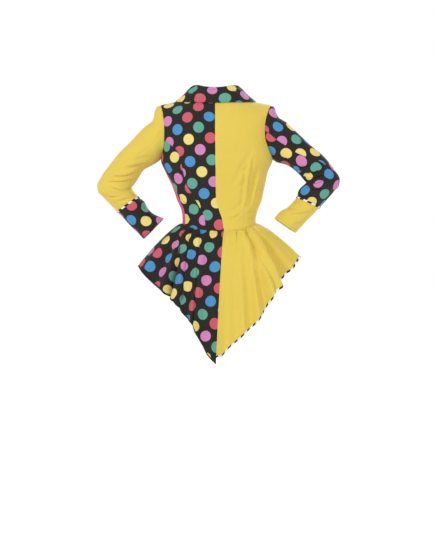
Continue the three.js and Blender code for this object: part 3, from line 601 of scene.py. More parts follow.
def topstitch(name, node, line, away, slot, closed=False, pitch=STITCH_PITCH,
              length=STITCH_LENGTH, thick=STITCH_THICK):
    """A row of stitches along a line on one panel, each a copy of the one stitch."""
    ends = np.vstack([line, line[:1]]) if closed else line
    outs = np.vstack([away, away[:1]]) if closed else away
    run = np.concatenate([[0], np.cumsum(np.linalg.norm(np.diff(ends, axis=0), axis=1))])
    count = int(run[-1] / pitch)
    middles = (np.arange(count) + 0.5) * run[-1] / count

    def at(distance, table):
        return np.stack([np.interp(distance, run, table[:, c]) for c in range(3)], -1)
    along_line = at(middles + length / 2, ends) - at(middles - length / 2, ends)
    along_line = along_line / np.linalg.norm(along_line, axis=1, keepdims=True)
    out = at(middles, outs)
    out = out - along_line * (out * along_line).sum(1, keepdims=True)
    out = out / np.linalg.norm(out, axis=1, keepdims=True)
    beside = np.cross(out, along_line)
    centre = at(middles, ends) + out * 0.12
    corners = (centre[:, None]
               + along_line[:, None] * stitch_points[None, :, :1] * length
               + beside[:, None] * stitch_points[None, :, 1:2] * thick
               + out[:, None] * stitch_points[None, :, 2:] * thick)
    size = len(stitch_points)
    faces = [[corner + i * size for corner in face] for i in range(count) for face in stitch_faces]
    mesh = bpy.data.meshes.new(name)
    mesh.from_pydata((corners.reshape(-1, 3) * MM).tolist(), [], faces)
    mesh.materials.append(threads[slot])
    row = new_piece(name, mesh)
    bpy.ops.object.shade_smooth_by_angle(angle=math.radians(80))
    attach(row, "root")
    sewn_on.setdefault(node, []).append(row)


def reverse_of_print(tree, cut):
    """The print as it strikes through to the wrong side: greyer ground and duller dots."""
    return blend_of(tree, 0.62, printed(tree, cut), srgb(74, 68, 66))


dotted = (woven("dotted_cotton", printed, sheen=0.08),
          woven("dotted_cotton_reverse", reverse_of_print, sheen=0.12))
yellow = (woven("yellow_cotton", plain(srgb(221, 196, 84))),
          woven("yellow_cotton_reverse", plain(srgb(212, 188, 90))))

CENTRE_COLUMNS, SIDE_COLUMNS = 40, 30
WAIST_STITCH_INSET = 3.4
below_princess = mix(WAIST_ROW_Z, PRINCESS_TOP_Z, close_at_ends(78))
body_z = np.concatenate([below_princess, mix(PRINCESS_TOP_Z, YOKE_Z, close_at_ends(10))[1:]])
flank_z = np.append(below_princess[:-1], PRINCESS_TOP_Z - 0.05)
rises = np.linspace(0, 1, 31)[1:]


def princess_angle(side, z):
    middle, width, _, edge = level(side, "back", z)
    return np.minimum(angle_of_width(np.abs(princess[side](z)[0] - middle) / width), edge)


def bodice_rows(side, face, angle, z):
    """Rows of a panel; the lowest ones bend down to the dipping waist seam."""
    behind = angle if face == "back" else math.pi - angle
    dip = (z - WAIST_ROW_Z) / (FIRST_ROW_Z - WAIST_ROW_Z)
    height = np.where(z < FIRST_ROW_Z, mix(waist_z(behind), FIRST_ROW_Z, dip), z)
    return bodice(side, face, angle, height)


def outside_order(points, turned):
    return points[::-1] if turned else points


back_creases = {
    "back_left": [
        (-1, [(-150, -205), (-112, -225), (-70, -232)], 2.2, 10, 0),
        (-1, [(-96, -300), (-60, -330), (-20, -342)], 2.4, 9, 0),
        (-1, [(-60, -350), (-34, -376), (4, -388)], 3.0, 7, 0),
        (-1, [(-66, -322), (-48, -360), (-38, -396)], 3.4, 6, 7),
        (-1, [(-40, -150), (-44, -215), (-36, -280)], -1.2, 16, 0),
    ],
    "side_back_left": [
        (-1, [(-165, -212), (-140, -232), (-118, -240)], 3.2, 8, 5),
        (-1, [(-150, -262), (-128, -282), (-104, -290)], 3.4, 8, 8),
        (-1, [(-132, -306), (-112, -330), (-92, -340)], 3.4, 7, 9),
        (-1, [(-120, -346), (-98, -366), (-70, -374)], 3.2, 6, 8),
        (-1, [(-112, -378), (-88, -390), (-60, -394)], 2.6, 6, 3),
    ],
    "back_right": [
        (-1, [(124, -156), (92, -204), (48, -290)], 3.2, 12, 0),
        (-1, [(112, -204), (98, -222), (76, -250)], 2.6, 6, 0),
        (-1, [(96, -264), (76, -284), (48, -298)], 2.0, 7, 0),
        (-1, [(98, -318), (70, -350), (34, -368)], 2.4, 9, 0),
        (-1, [(90, -366), (62, -386), (34, -392)], 3.6, 6, 4),
        (-1, [(112, -190), (101, -262), (93, -356)], -5.4, 7, 0),
        (-1, [(97, -206), (88, -272), (80, -356)], 2.6, 7, 0),
    ],
    "side_back_right": [
        (-1, [(150, -226), (129, -286), (115, -352)], -5.0, 6, 0),
        (-1, [(162, -224), (143, -290), (128, -352)], 2.4, 7, 0),
        (-1, [(137, -216), (119, -280), (108, -350)], 4.0, 6, 0),
        (-1, [(130, -352), (114, -366), (98, -374)], 3.6, 6, 0),
        (-1, [(134, -372), (120, -384), (104, -390)], 3.2, 6, 0),
    ],
}
cloth_of = {"left": (dotted, "dotted_cloth"), "right": (yellow, "yellow_cloth")}

for side in ("left", "right"):
    turned = side == "left"
    share = close_at_ends(CENTRE_COLUMNS)[:, None]
    limit = np.where(body_z >= PRINCESS_TOP_Z, level(side, "back", body_z)[3],
                     princess_angle(side, body_z))
    edge = level(side, "back", YOKE_Z)[3]
    reach = across(share * edge) / across(edge)
    centre = np.concatenate([
        bodice_rows(side, "back", share * limit[None, :], body_z[None, :]),
        yoke(side, "back", reach, rises[None, :])], axis=1)
    name = f"back_{side}"
    centre = pressed(outside_order(centre, turned), back_creases[name])
    topstitch(f"waist_stitches_{name}", name,
              *line_beside(centre, "bottom", WAIST_STITCH_INSET), cloth_of[side][1])
    cut_and_sew(
        name, centre, *cloth_of[side],
        laid=((-93, -129.7), (2, -1), (-11.1, -199.7), (2, 0)) if side == "left" else None)
    share = close_at_ends(SIDE_COLUMNS)[:, None]
    start = princess_angle(side, flank_z)[None, :]
    flank = bodice_rows(side, "back", mix(start, level(side, "back", flank_z)[3][None, :], share),
                        flank_z[None, :])
    name = f"side_back_{side}"
    flank = pressed(outside_order(flank, turned), back_creases[name])
    topstitch(f"waist_stitches_{name}", name,
              *line_beside(flank, "bottom", WAIST_STITCH_INSET), cloth_of[side][1])
    cut_and_sew(
        name, flank, *cloth_of[side],
        laid=((-159.2, -219.8), (1, -1), (-140.4, -187.6), (1, 0)) if side == "left" else None)


# Fronts: one cotton panel each side, the left one pink and the right one yellow. The right one
# laps over the left in the middle, and both part at the break into the V of the neck.
BREAK_Z = -212
LAP_TOP_Z = -236
LAP_FULL_Z = -258
FRONT_LAP = 14
LAP_RISE = 2.4
LAP_RISE_Z, LAP_RISE_RUN = -208, 24
NECK_POINT = 72 / 187
FRONT_COLUMNS = 56
EDGE_STITCH_INSET = 5
neck_edge = curve([(-212, 0), (-170, 11), (-130, 24), (-97, 36)])


def reach_of_distance(side, distance):
    _, width, _, edge = level(side, "front", YOKE_Z)
    return distance / (width * across(edge))


def neck_reach(side, rise):
    """Where the neck edge crosses the yoke, from its low end to the neck point."""
    low = reach_of_distance(side, neck_edge(YOKE_Z)[0])
    return mix(low, NECK_POINT, np.asarray(rise, float) ** 1.4)


front_creases = {
    "left": [
        (1, [(-166, -204), (-122, -232), (-88, -240)], 2.2, 10, 0),
        (1, [(-140, -318), (-98, -330), (-70, -346)], 1.8, 9, 0),
        (1, [(-122, -350), (-66, -380), (-24, -386)], 3.0, 7, 5),
        (1, [(-150, -150), (-118, -196), (-96, -262)], 2.4, 12, 0),
        (1, [(-108, -290), (-88, -340), (-70, -384)], 2.2, 9, 0),
    ],
    "right": [
        (1, [(168, -206), (130, -226), (84, -232)], 2.4, 10, 0),
        (1, [(144, -300), (112, -322), (64, -326)], 1.6, 9, 0),
        (1, [(138, -350), (88, -376), (50, -384)], 3.0, 7, 4),
        (1, [(140, -146), (112, -190), (94, -250)], 2.4, 12, 0),
        (1, [(124, -286), (106, -336), (92, -380)], 2.2, 9, 0),
    ],
}
pink = (woven("pink_cotton", plain(srgb(208, 84, 132))),
        woven("pink_cotton_reverse", plain(srgb(200, 92, 134))))
threads["pink_cloth"] = thread("pink_thread", srgb(186, 66, 112))
front_cloth = {"left": (pink, "pink_cloth"), "right": (yellow, "yellow_cloth")}

for side in ("left", "right"):
    share = close_at_ends(FRONT_COLUMNS)[:, None]
    _, width, _, edge = level(side, "front", body_z)
    lap = -FRONT_LAP * np.clip((LAP_TOP_Z - body_z) / (LAP_TOP_Z - LAP_FULL_Z), 0, 1)
    start = np.where(body_z > BREAK_Z, neck_edge(body_z)[0], lap if side == "right" else 0)
    start = np.sign(start) * angle_of_width(np.abs(start) / width)
    body = bodice_rows(side, "front", mix(start[None, :], edge[None, :], share), body_z[None, :])
    reach = mix(neck_reach(side, rises)[None, :], 1, share)
    points = np.concatenate([body, yoke(side, "front", reach, rises[None, :])], axis=1)
    points = outside_order(points, side == "right")
    if side == "right":
        near_edge = ease((0.5 - share[::-1]) / 0.3)
        rise = LAP_RISE * near_edge * ease((LAP_RISE_Z - points[..., 2]) / LAP_RISE_RUN)
        points = points + outward(points) * rise[..., None]
    points = pressed(points, front_creases[side], seam_depth=0.6)
    cut_and_sew(f"front_{side}", points, *front_cloth[side])
    topstitch(f"waist_stitches_front_{side}", f"front_{side}",
              *line_beside(points, "bottom", WAIST_STITCH_INSET), front_cloth[side][1])
    edge_line, out = line_beside(points, "left" if side == "left" else "right",
                                 EDGE_STITCH_INSET)
    low = edge_line[:, 2] < BREAK_Z - 4
    topstitch(f"edge_stitches_{side}", f"front_{side}", edge_line[low], out[low],
              front_cloth[side][1])


# Buttons: three plain black moulded buttons down the lap, each a low dome dished inside its
# rim, with four holes, and sewn on with two bars of black thread.
BUTTON_HEIGHTS = (-264, -318, -372)
BUTTON_ACROSS, BUTTON_THICK, BUTTON_SEAT = 22, 4, 0.5
BUTTON_RIM, BUTTON_DISH = 2.6, 0.9
HOLE_APART, HOLE_ACROSS = 4.4, 1.9
BAR_LENGTH, BAR_THICK = 6.0, 1.3

moulded, tree, finish, place = new_material("black_moulded_button")
swirl = add_node(tree, "TexNoise", None,
                 {"Vector": place, "Scale": 160.0, "Detail": 3.0, "Distortion": 2.0})
tree.links.new(blend_of(tree, swirl.outputs[0], srgb(17, 16, 16), srgb(44, 40, 39)),
               finish.inputs["Base Color"])
gloss = add_node(tree, "MapRange", None,
                 {"Value": swirl.outputs[0], "To Min": 0.26, "To Max": 0.42})
tree.links.new(gloss.outputs[0], finish.inputs["Roughness"])


def finish_with(piece, kind, **settings):
    only(piece)
    added = piece.modifiers.new("shape", kind)
    for key, value in settings.items():
        setattr(added, key, value)
    bpy.ops.object.modifier_apply(modifier=added.name)


bpy.ops.object.select_all(action="DESELECT")
bpy.ops.mesh.primitive_cylinder_add(vertices=48, radius=BUTTON_ACROSS / 2 * MM,
                                    depth=BUTTON_THICK * MM,
                                    location=(0, 0, BUTTON_THICK / 2 * MM))
first_button = bpy.context.object
bpy.ops.object.transform_apply(location=True, rotation=True, scale=True)
bpy.ops.object.mode_set(mode="EDIT")
bpy.ops.mesh.select_mode(type="FACE")
bpy.ops.mesh.select_all(action="DESELECT")
bpy.ops.object.mode_set(mode="OBJECT")
for face in first_button.data.polygons:
    face.select = face.normal.z > 0.9
bpy.ops.object.mode_set(mode="EDIT")
bpy.ops.mesh.inset(thickness=BUTTON_RIM * MM, depth=0)
bpy.ops.mesh.inset(thickness=0.6 * MM, depth=-BUTTON_DISH * MM)
bpy.ops.object.mode_set(mode="OBJECT")
finish_with(first_button, "BEVEL", width=0.5 * MM, segments=3, limit_method="ANGLE",
            angle_limit=math.radians(30))
for hole_x in (-1, 1):
    for hole_y in (-1, 1):
        bpy.ops.object.select_all(action="DESELECT")
        bpy.ops.mesh.primitive_cylinder_add(
            vertices=20, radius=HOLE_ACROSS / 2 * MM, depth=12 * MM,
            location=(hole_x * HOLE_APART / 2 * MM, hole_y * HOLE_APART / 2 * MM, 0))
        drill = bpy.context.object
        finish_with(first_button, "BOOLEAN", object=drill, operation="DIFFERENCE",
                    solver="EXACT")
        bpy.data.objects.remove(drill)
first_button.data.materials.clear()
first_button.data.materials.append(moulded)
only(first_button)
bpy.ops.object.shade_smooth_by_angle(angle=math.radians(35))

for number, height in enumerate(BUTTON_HEIGHTS, 1):
    seat = bodice("right", "front", 0.0, float(height))
    slope = (bodice("right", "front", 0.0, height + 5.0)
             - bodice("right", "front", 0.0, height - 5.0))
    out = np.array([0, slope[2], -slope[1]]) / math.hypot(slope[1], slope[2])
    button = first_button.copy()
    button.data = first_button.data.copy()
    button.name = f"sewn_button_{number}"
    scene.collection.objects.link(button)
    only(button)
    button.rotation_euler = Vector(out).to_track_quat("Z", "X").to_euler()
    button.location = Vector((seat + out * (LAP_RISE + BUTTON_SEAT)) * MM)
    bpy.ops.object.transform_apply(location=True, rotation=True, scale=True)
    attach(button, "root")
    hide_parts(f"button_{number}")
    top = seat + out * (LAP_RISE + BUTTON_SEAT + BUTTON_THICK - BUTTON_DISH + 0.1)
    up = np.cross(out, (1, 0, 0))
    for bar, beside in (("left", -1), ("right", 1)):
        middle = top + np.array([beside * HOLE_APART / 2, 0, 0])
        reach = up * (BAR_LENGTH + 1) / 2
        topstitch(f"button_thread_{number}_{bar}", "front_right",
                  np.array([middle - reach, middle + reach]), np.array([out, out]),
                  "dotted_cloth", pitch=BAR_LENGTH, length=BAR_LENGTH, thick=BAR_THICK)
bpy.data.objects.remove(first_button)


# Lapels: the printed facings of the fronts, turned back over them from the break of the V up
# to the gorge, with a soft roll along the neck edge and a pressed outer edge.
LAPEL_LIFT = 2.4
LAPEL_ROLL = 3.0
LAPEL_STITCH_INSET = 4
LAPEL_LOW_Z, LAPEL_TOP = -208, 0.425
lapel_edge = curve([(-212, 5), (-180, 30), (-140, 62), (-97, 88)])

for side in ("left", "right"):
    share = close_at_ends(26)[:, None]
    z = np.linspace(LAPEL_LOW_Z, YOKE_Z, 34)
    width = level(side, "front", z)[1]
    start = angle_of_width(neck_edge(z)[0] / width)
    end = angle_of_width(lapel_edge(z)[0] / width)
    low = bodice(side, "front", mix(start[None, :], end[None, :], share), z[None, :])
    rise = np.linspace(0, LAPEL_TOP, 16)[1:]
    outer = reach_of_distance(side, lapel_edge(YOKE_Z)[0]) + 0.06 * rise
    reach = mix(neck_reach(side, rise)[None, :], outer[None, :], share)
    points = np.concatenate([low, yoke(side, "front", reach, rise[None, :])], axis=1)
    points = outside_order(points, side == "right")
    roll = share if side == "left" else share[::-1]
    lift = LAPEL_LIFT + LAPEL_ROLL * np.exp(-((roll / 0.22) ** 2)) * (1 - np.exp(-roll / 0.04))
    points = points + outward(points) * lift[..., None]
    points = pressed(points, [], seam_depth=0.0)
    topstitch(f"lapel_stitches_{side}", f"lapel_{side}",
              *line_beside(points, "right" if side == "left" else "left", LAPEL_STITCH_INSET),
              "dotted_cloth")
    cut_and_sew(f"lapel_{side}", points, dotted, "dotted_cloth",
                laid=((SIGN[side] * 40, -150), (0, 2), (SIGN[side] * 70, -110), (1, 1), 1))


# Collar: a fold-over collar in one piece of doubled print, sewn to the neck. It stands up from
# its seam, rolls over and falls flat on the yokes, down to the gorge on each front.
COLLAR_CLOTH = 1.8
COLLAR_LIFT = COLLAR_CLOTH + 1.3
COLLAR_MIDDLE_Z, COLLAR_SHOULDER_Z = -7, 2
SHOULDER_STATION, LAST_STATION = 6, 10
BESIDE_NECK = 0.02
COLLAR_STITCH_INSET = 4
# station, neck reach and rise, outer edge reach and rise, stand
collar_stations = curve([
    (0, 0, 1, 0, 0.86, 28), (1, 0.11, 1, 0.14, 0.85, 28), (2, 0.2, 1, 0.28, 0.82, 27),
    (3, 0.28, 1, 0.42, 0.79, 25), (4, 0.335, 1, 0.56, 0.81, 21), (5, 0.37, 1, 0.67, 0.89, 17),
    (6, 0.39, 1.01, 0.73, 1, 14), (7, 0.38, 1.15, 0.71, 1.13, 11.5),
    (8, 0.36, 1.3, 0.67, 1.28, 10), (9, 0.33, 1.45, 0.62, 1.44, 9), (10, 0.3, 1.59, 0.57, 1.59, 8),
])


def over_shoulder(side, reach, rise):
    """The yokes as one surface: past a rise of 1 the cloth leads on to the front."""
    if rise <= 1:
        return yoke(side, "back", reach, rise)
    return yoke(side, "front", reach, 2 - rise)


def away_from_yoke(side, reach, rise):
    step = 0.02
    face, at = ("back", rise) if rise <= 1 else ("front", 2 - rise)
    here = yoke(side, face, reach, at)
    over = yoke(side, face, reach + step, at) - here
    away = np.cross(over, here - yoke(side, face, reach, at - step))
    away = away / np.linalg.norm(away)
    return away if (side == "right") == (face == "back") else -away


def rise_at_height(side, reach, z):
    rises_up = np.linspace(0, 1, 400)
    return float(np.interp(z, yoke(side, "back", reach, rises_up)[:, 2], rises_up))


def through(points, count):
    """A smooth line through a few points, evenly divided along its length."""
    points = np.array(points)
    ends = np.vstack([2 * points[0] - points[1], points, 2 * points[-1] - points[-2]])
    fine = []
    for i in range(1, len(ends) - 2):
        a, b, c, d = ends[i - 1:i + 3]
        for t in np.linspace(0, 1, 24, endpoint=False):
            fine.append(0.5 * (2 * b + (c - a) * t + (2 * a - 5 * b + 4 * c - d) * t**2
                               + (3 * b - a - 3 * c + d) * t**3))
    fine = np.array(fine + [points[-1]])
    run = np.concatenate([[0], np.cumsum(np.linalg.norm(np.diff(fine, axis=0), axis=1))])
    even = np.linspace(0, run[-1], count)
    return np.stack([np.interp(even, run, fine[:, c]) for c in range(3)], -1)


def collar_profile(side, station):
    neck_at, neck_rise, edge_at, edge_rise, stand = (float(v) for v in collar_stations(station))
    start = neck_at
    if station < SHOULDER_STATION:
        height = mix(COLLAR_MIDDLE_Z, COLLAR_SHOULDER_Z, (station / SHOULDER_STATION) ** 2)
        edge_rise = min(rise_at_height(side, edge_at, height), 0.99)
        neck_rise = 1.0
    elif station > SHOULDER_STATION:
        start = float(neck_reach(side, 2 - neck_rise))
    neck = over_shoulder(side, start, neck_rise)
    to_front = float(ease((station - SHOULDER_STATION + 1) / 3))
    up = mix(np.array([0, 0, 1.0]), away_from_yoke(side, start + BESIDE_NECK, neck_rise), to_front)
    up = up / np.linalg.norm(up)
    away = np.array([neck[0], neck[1] - 8, 0])
    away = away / np.linalg.norm(away)

    def fall(share):
        reach, rise = mix(start, edge_at, share), mix(neck_rise, edge_rise, share)
        lift = COLLAR_LIFT + stand * 0.62 * (1 - share**2.4)
        return over_shoulder(side, reach, rise) + away_from_yoke(side, reach, rise) * lift
    return through([fall(1), fall(0.8), fall(0.55), fall(0.28), neck + up * stand + away * 4,
                    neck + up * (stand - 4) - away * 0.5, neck + up * 1], 44)


stations = np.linspace(0, LAST_STATION, 61)
collar_points = np.array([collar_profile("left", s) for s in stations[:0:-1]]
                         + [collar_profile("right", s) for s in stations])
collar_points = pressed(collar_points, [], seam_depth=0.0, rumple=0.35)
topstitch("collar_stitches", "collar",
          *line_beside(collar_points, "bottom", COLLAR_STITCH_INSET), "dotted_cloth")
cut_and_sew("collar", collar_points, dotted, "dotted_cloth", wall=COLLAR_CLOTH,
            laid=((-56.9, 8.3), (3, 0), (18.2, 8.3), (1, 1)))


# Sleeves: two-piece sleeves, an upper and an under half joined by the hindarm and forearm
# seams, bent at the elbow and pressed into creases on its inner side. The left is yellow and
# the right is printed.
HEAD_RINGS = 4
CUFF_SEAM = 13
FOREARM_SEAM = 265
# ring, outer x and z, inner x and z, middle y, depth, turn of the hindarm seam
sleeve_rings = {
    "left": curve([
        (0, -187, -7, -187, -187, 0, 60, 90), (1, -199, -12, -190, -191, -1, 60, 91),
        (2, -207, -28, -194, -195, -3, 60, 92), (3, -213, -56, -201, -200, -6, 59, 94),
        (4, -244, -84, -216, -209, -10, 57, 97), (5, -286, -129, -244, -226, -16, 54, 95),
        (6, -315, -158, -257, -246, -21, 52, 82), (7, -357, -209, -270, -267, -27, 51, 60),
        (8, -382, -245, -278, -278, -31, 51, 36), (9, -398, -276, -283, -284, -32, 50, 20),
        (10, -395, -298, -280, -293, -30, 49, 16), (11, -379, -315, -273, -301, -26, 47, 20),
        (12, -355, -341, -266, -308, -21, 45, 26), (13, -331, -366, -260, -316, -16, 43, 30),
        (14, -309, -388, -241, -331, -12, 43, 32), (15, -288, -411, -231, -352, -9, 43, 34),
        (16, -266, -433, -212, -371, -6, 43, 35), (17, -244, -455, -177, -386, -4, 43, 36),
    ]),
    "right": curve([
        (0, 182, -9, 187.6, -187, 0, 60, 90), (1, 192, -14, 190, -191, -1, 60, 91),
        (2, 198, -30, 194, -194, -3, 60, 92), (3, 206, -47, 201, -198, -6, 58, 94),
        (4, 238.5, -69, 216, -202, -10, 56, 98), (5, 282, -113, 240, -211, -16, 53, 96),
        (6, 326, -153, 262, -227, -21, 51, 82), (7, 355, -178, 277, -242, -27, 50, 62),
        (8, 391, -222, 291, -258, -31, 50, 38), (9, 410, -256, 297, -267, -32, 49, 20),
        (10, 408, -278, 291, -275, -30, 48, 16), (11, 392, -297, 281, -284, -26, 46, 20),
        (12, 368, -324, 273, -297, -21, 44, 26), (13, 344, -351, 268, -316, -16, 42, 30),
        (14, 324, -372, 253, -334, -12, 42, 32), (15, 304, -392, 238, -349, -9, 42, 34),
        (16, 284, -414, 215, -362, -6, 42, 35), (17, 264, -435, 193, -386, -4, 42, 36),
    ]),
}


def sleeve(side, turn, ring):
    outer_x, outer_z, inner_x, inner_z, middle_y, depth, _ = sleeve_rings[side](ring)
    turn = np.radians(turn)
    x = (outer_x + inner_x) / 2 + (outer_x - inner_x) / 2 * np.cos(turn)
    y = middle_y - depth * np.sin(turn)
    z = (outer_z + inner_z) / 2 + (outer_z - inner_z) / 2 * np.cos(turn)
    bound = np.stack(np.broadcast_arrays(x, y, z), -1)
    first = sleeve_rings[side](0)
    inward = (1 - np.cos(turn)) / 2
    head_x, head_y, head_z = armhole(side, np.degrees(turn))
    head = np.stack(np.broadcast_arrays(
        head_x + mix(outer_x - first[0], inner_x - first[2], inward), head_y + middle_y,
        head_z + mix(outer_z - first[1], inner_z - first[3], inward)), -1)
    return mix(head, bound, ease(ring / HEAD_RINGS)[..., None])


sleeve_creases = {
    "left": [
        (-1, [(-336, -219), (-285, -215), (-228, -203)], 5.4, 6.5, 7),
        (-1, [(-354, -246), (-310, -242), (-258, -230)], 5.6, 6, 11),
        (-1, [(-370, -264), (-320, -262), (-264, -255)], 4.6, 5.5, 9),
        (-1, [(-346, -285), (-312, -286), (-276, -283)], 6.4, 6, 13),
        (-1, [(-392, -301), (-362, -314), (-326, -317)], 5.0, 6, 7),
        (-1, [(-304, -184), (-262, -190), (-222, -186)], 3.6, 8, 0),
        (-1, [(-338, -338), (-308, -328), (-276, -318)], 3.8, 6, 0),
        (-1, [(-262, -100), (-240, -126), (-226, -132)], 3.4, 8, 0),
        (1, [(-238, -206), (-285, -212), (-330, -222)], 5.0, 7, 0),
        (1, [(-356, -252), (-312, -242), (-264, -234)], 5.6, 6, 10),
        (1, [(-360, -276), (-318, -270), (-276, -266)], 5.4, 6, 10),
        (1, [(-348, -296), (-312, -292), (-280, -286)], 5.0, 6, 8),
    ],
    "right": [
        (-1, [(226, -186), (277, -209), (340, -204)], 5.0, 6, 13),
        (-1, [(246, -208), (294, -228), (366, -220)], 5.6, 6, 16),
        (-1, [(258, -230), (304, -246), (366, -238)], 5.0, 5.5, 14),
        (-1, [(266, -250), (306, -265), (372, -254)], 5.6, 6, 16),
        (-1, [(286, -280), (322, -288), (362, -286)], 3.6, 6, 7),
        (-1, [(232, -160), (262, -174), (300, -180)], 2.6, 8, 0),
        (-1, [(262, -100), (246, -130), (232, -166)], 2.4, 10, 0),
        (1, [(252, -198), (296, -208), (342, -214)], 5.0, 7, 8),
        (1, [(284, -230), (322, -236), (362, -240)], 5.6, 6, 10),
        (1, [(294, -254), (332, -260), (374, -262)], 5.6, 6, 10),
        (1, [(292, -276), (330, -284), (366, -290)], 5.0, 6, 8),
    ],
}
sleeve_cloth = {"left": (yellow, "yellow_cloth"), "right": (dotted, "dotted_cloth")}
sleeve_prints = {"top": ((218.1, -132.8), (3, 1), (271, -125.8), (1, 0)),
                 "under": ((283.6, -198), (3, 3), (349.5, -226.9), (1, 0))}
ring_steps = CUFF_SEAM * close_at_ends(110)
HALF_TURN = 48
SEAM_ALLOWANCE, SEAM_RINGS = 1.6, 0.4


def along_the_arm(side, points):
    """Columns round the arm and rows down it become columns to the right and rows up."""
    return points[::-1] if side == "left" else points


for side in ("left", "right"):
    hindarm = sleeve_rings[side](ring_steps)[6][None, :]
    share = close_at_ends(HALF_TURN)[:, None]
    halves = {"top": mix(FOREARM_SEAM - 360, hindarm, share),
              "under": mix(hindarm, FOREARM_SEAM, share)}
    for half, turn in halves.items():
        points = sleeve(side, turn, ring_steps[None, :])
        points[..., 0] -= SIGN[side] * SEAM_ALLOWANCE * ease(1 - ring_steps / SEAM_RINGS)
        points = along_the_arm(side, points)
        cut_and_sew(f"sleeve_{side}_{half}", pressed(points, sleeve_creases[side]),
                    *sleeve_cloth[side],
                    laid=sleeve_prints[half] if side == "right" else None)


# Cuffs: a straight band of the other half's cloth round each forearm, sewn to the sleeve with
# a flat strip of black and white check between them, and hemmed at the wrist.
cuff_creases = {
    "left": [(-1, [(-300, -350), (-268, -354), (-240, -350)], 3.2, 7, 5),
             (-1, [(-262, -376), (-236, -376), (-214, -368)], 3.6, 7, 6),
             (1, [(-306, -362), (-272, -358), (-240, -352)], 2.8, 8, 0)],
    "right": [(-1, [(226, -372), (280, -370), (330, -360)], 3.8, 7, 5),
              (-1, [(256, -408), (278, -400), (300, -386)], 3.4, 7, 4),
              (-1, [(224, -350), (250, -352), (284, -344)], 3.2, 7, 4),
              (1, [(232, -366), (280, -362), (322, -354)], 3.0, 8, 0)],
}
cuff_cloth = {"left": (dotted, "dotted_cloth"), "right": (yellow, "yellow_cloth")}
WRIST_HEM = 9
cuff_turns = np.linspace(0, 360, 96, endpoint=False)[:, None]
cuff_rings = mix(CUFF_SEAM, 17, close_at_ends(34))[None, :]

for side in ("left", "right"):
    points = along_the_arm(side, sleeve(side, cuff_turns, cuff_rings))
    points = pressed(points, cuff_creases[side], ring=True, seam_depth=0.4)
    topstitch(f"wrist_stitches_{side}", f"cuff_{side}",
              *line_beside(points, "top", WRIST_HEM, True), cuff_cloth[side][1], closed=True)
    cut_and_sew(f"cuff_{side}", points, *cuff_cloth[side], ring=True,
                laid=((-283.7, -394.9), (1, 3), (-230.5, -396.6), (1, 0)) if side == "left"
                else None)

# Strips of check: a folded ribbon, black and white by turns, sewn flat into the cuff seams and
# along the yellow hem. The printed half of the hem is bound with plain black instead.
CHECK_LENGTH = 0.015
STRIP_WIDTH = 6.0
STRIP_THICK = 2.4
STRIP_LIFT = 1.0
SIDES_OF_STRIP = 12
SECTION_STEP = 0.0012


def checked(tree, cut):
    """Black and white blocks that follow each other along the strip."""
    run = add_node(tree, "SeparateXYZ", inputs={0: cut})
    place = calculate(tree, "DIVIDE", run.outputs[0], 2 * CHECK_LENGTH)
    place = calculate(tree, "ADD", place, calculate(tree, "MULTIPLY", run.outputs[1], 22.0))
    block = calculate(tree, "GREATER_THAN", calculate(tree, "FRACT", place), 0.5)
    return blend_of(tree, block, srgb(30, 28, 27), srgb(238, 236, 230))


check = woven("checked_ribbon", checked, sheen=0.1)
black = woven("black_binding", plain(srgb(30, 27, 27)), sheen=0.1)


def strip(name, line, flat, away, material, node, closed=False):
    """A narrow folded strip: an oval section carried along a line, flat against the cloth."""
    turn = np.linspace(0, 2 * math.pi, SIDES_OF_STRIP, endpoint=False)
    wide = (np.sign(np.cos(turn)) * np.abs(np.cos(turn)) ** 0.7)[None, :, None]
    thick = (np.sign(np.sin(turn)) * np.abs(np.sin(turn)) ** 0.7)[None, :, None]
    rings = (line[:, None] + flat[:, None] * wide * STRIP_WIDTH / 2
             + away[:, None] * thick * STRIP_THICK / 2)
    count = len(line)
    index = np.arange(count * SIDES_OF_STRIP).reshape(count, SIDES_OF_STRIP)
    index = np.hstack([index, index[:, :1]])
    if closed:
        index = np.vstack([index, index[:1]])
    ends = np.vstack([line, line[:1]]) if closed else line
    run = np.concatenate([[0], np.cumsum(np.linalg.norm(np.diff(ends, axis=0), axis=1))]) * MM
    over = np.arange(SIDES_OF_STRIP + 1) * SECTION_STEP
    cut = np.stack(np.broadcast_arrays(run[:, None], over), -1)
    faces, corners = (
        np.stack([of[:-1, :-1], of[:-1, 1:], of[1:, 1:], of[1:, :-1]], 2) for of in (index, cut))
    faces, corners = faces.reshape(-1, 4).tolist(), corners.reshape(-1, 2)
    if not closed:
        faces += [index[0, -2::-1].tolist(), index[-1, :-1].tolist()]
        corners = np.vstack([corners, cut[0, -2::-1], cut[-1, :-1]])
    mesh = bpy.data.meshes.new(name)
    mesh.from_pydata((rings.reshape(-1, 3) * MM).tolist(), [], faces)
    mesh.uv_layers.new(name="cut").data.foreach_set("uv", corners.ravel())
    mesh.materials.append(material)
    piece = new_piece(name, mesh)
    bpy.ops.object.mode_set(mode="EDIT")
    bpy.ops.mesh.select_all(action="SELECT")
    bpy.ops.mesh.normals_make_consistent(inside=False)
    bpy.ops.object.mode_set(mode="OBJECT")
    bpy.ops.object.shade_smooth_by_angle(angle=math.radians(60))
    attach(piece, "root")
    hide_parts(node)
    return piece


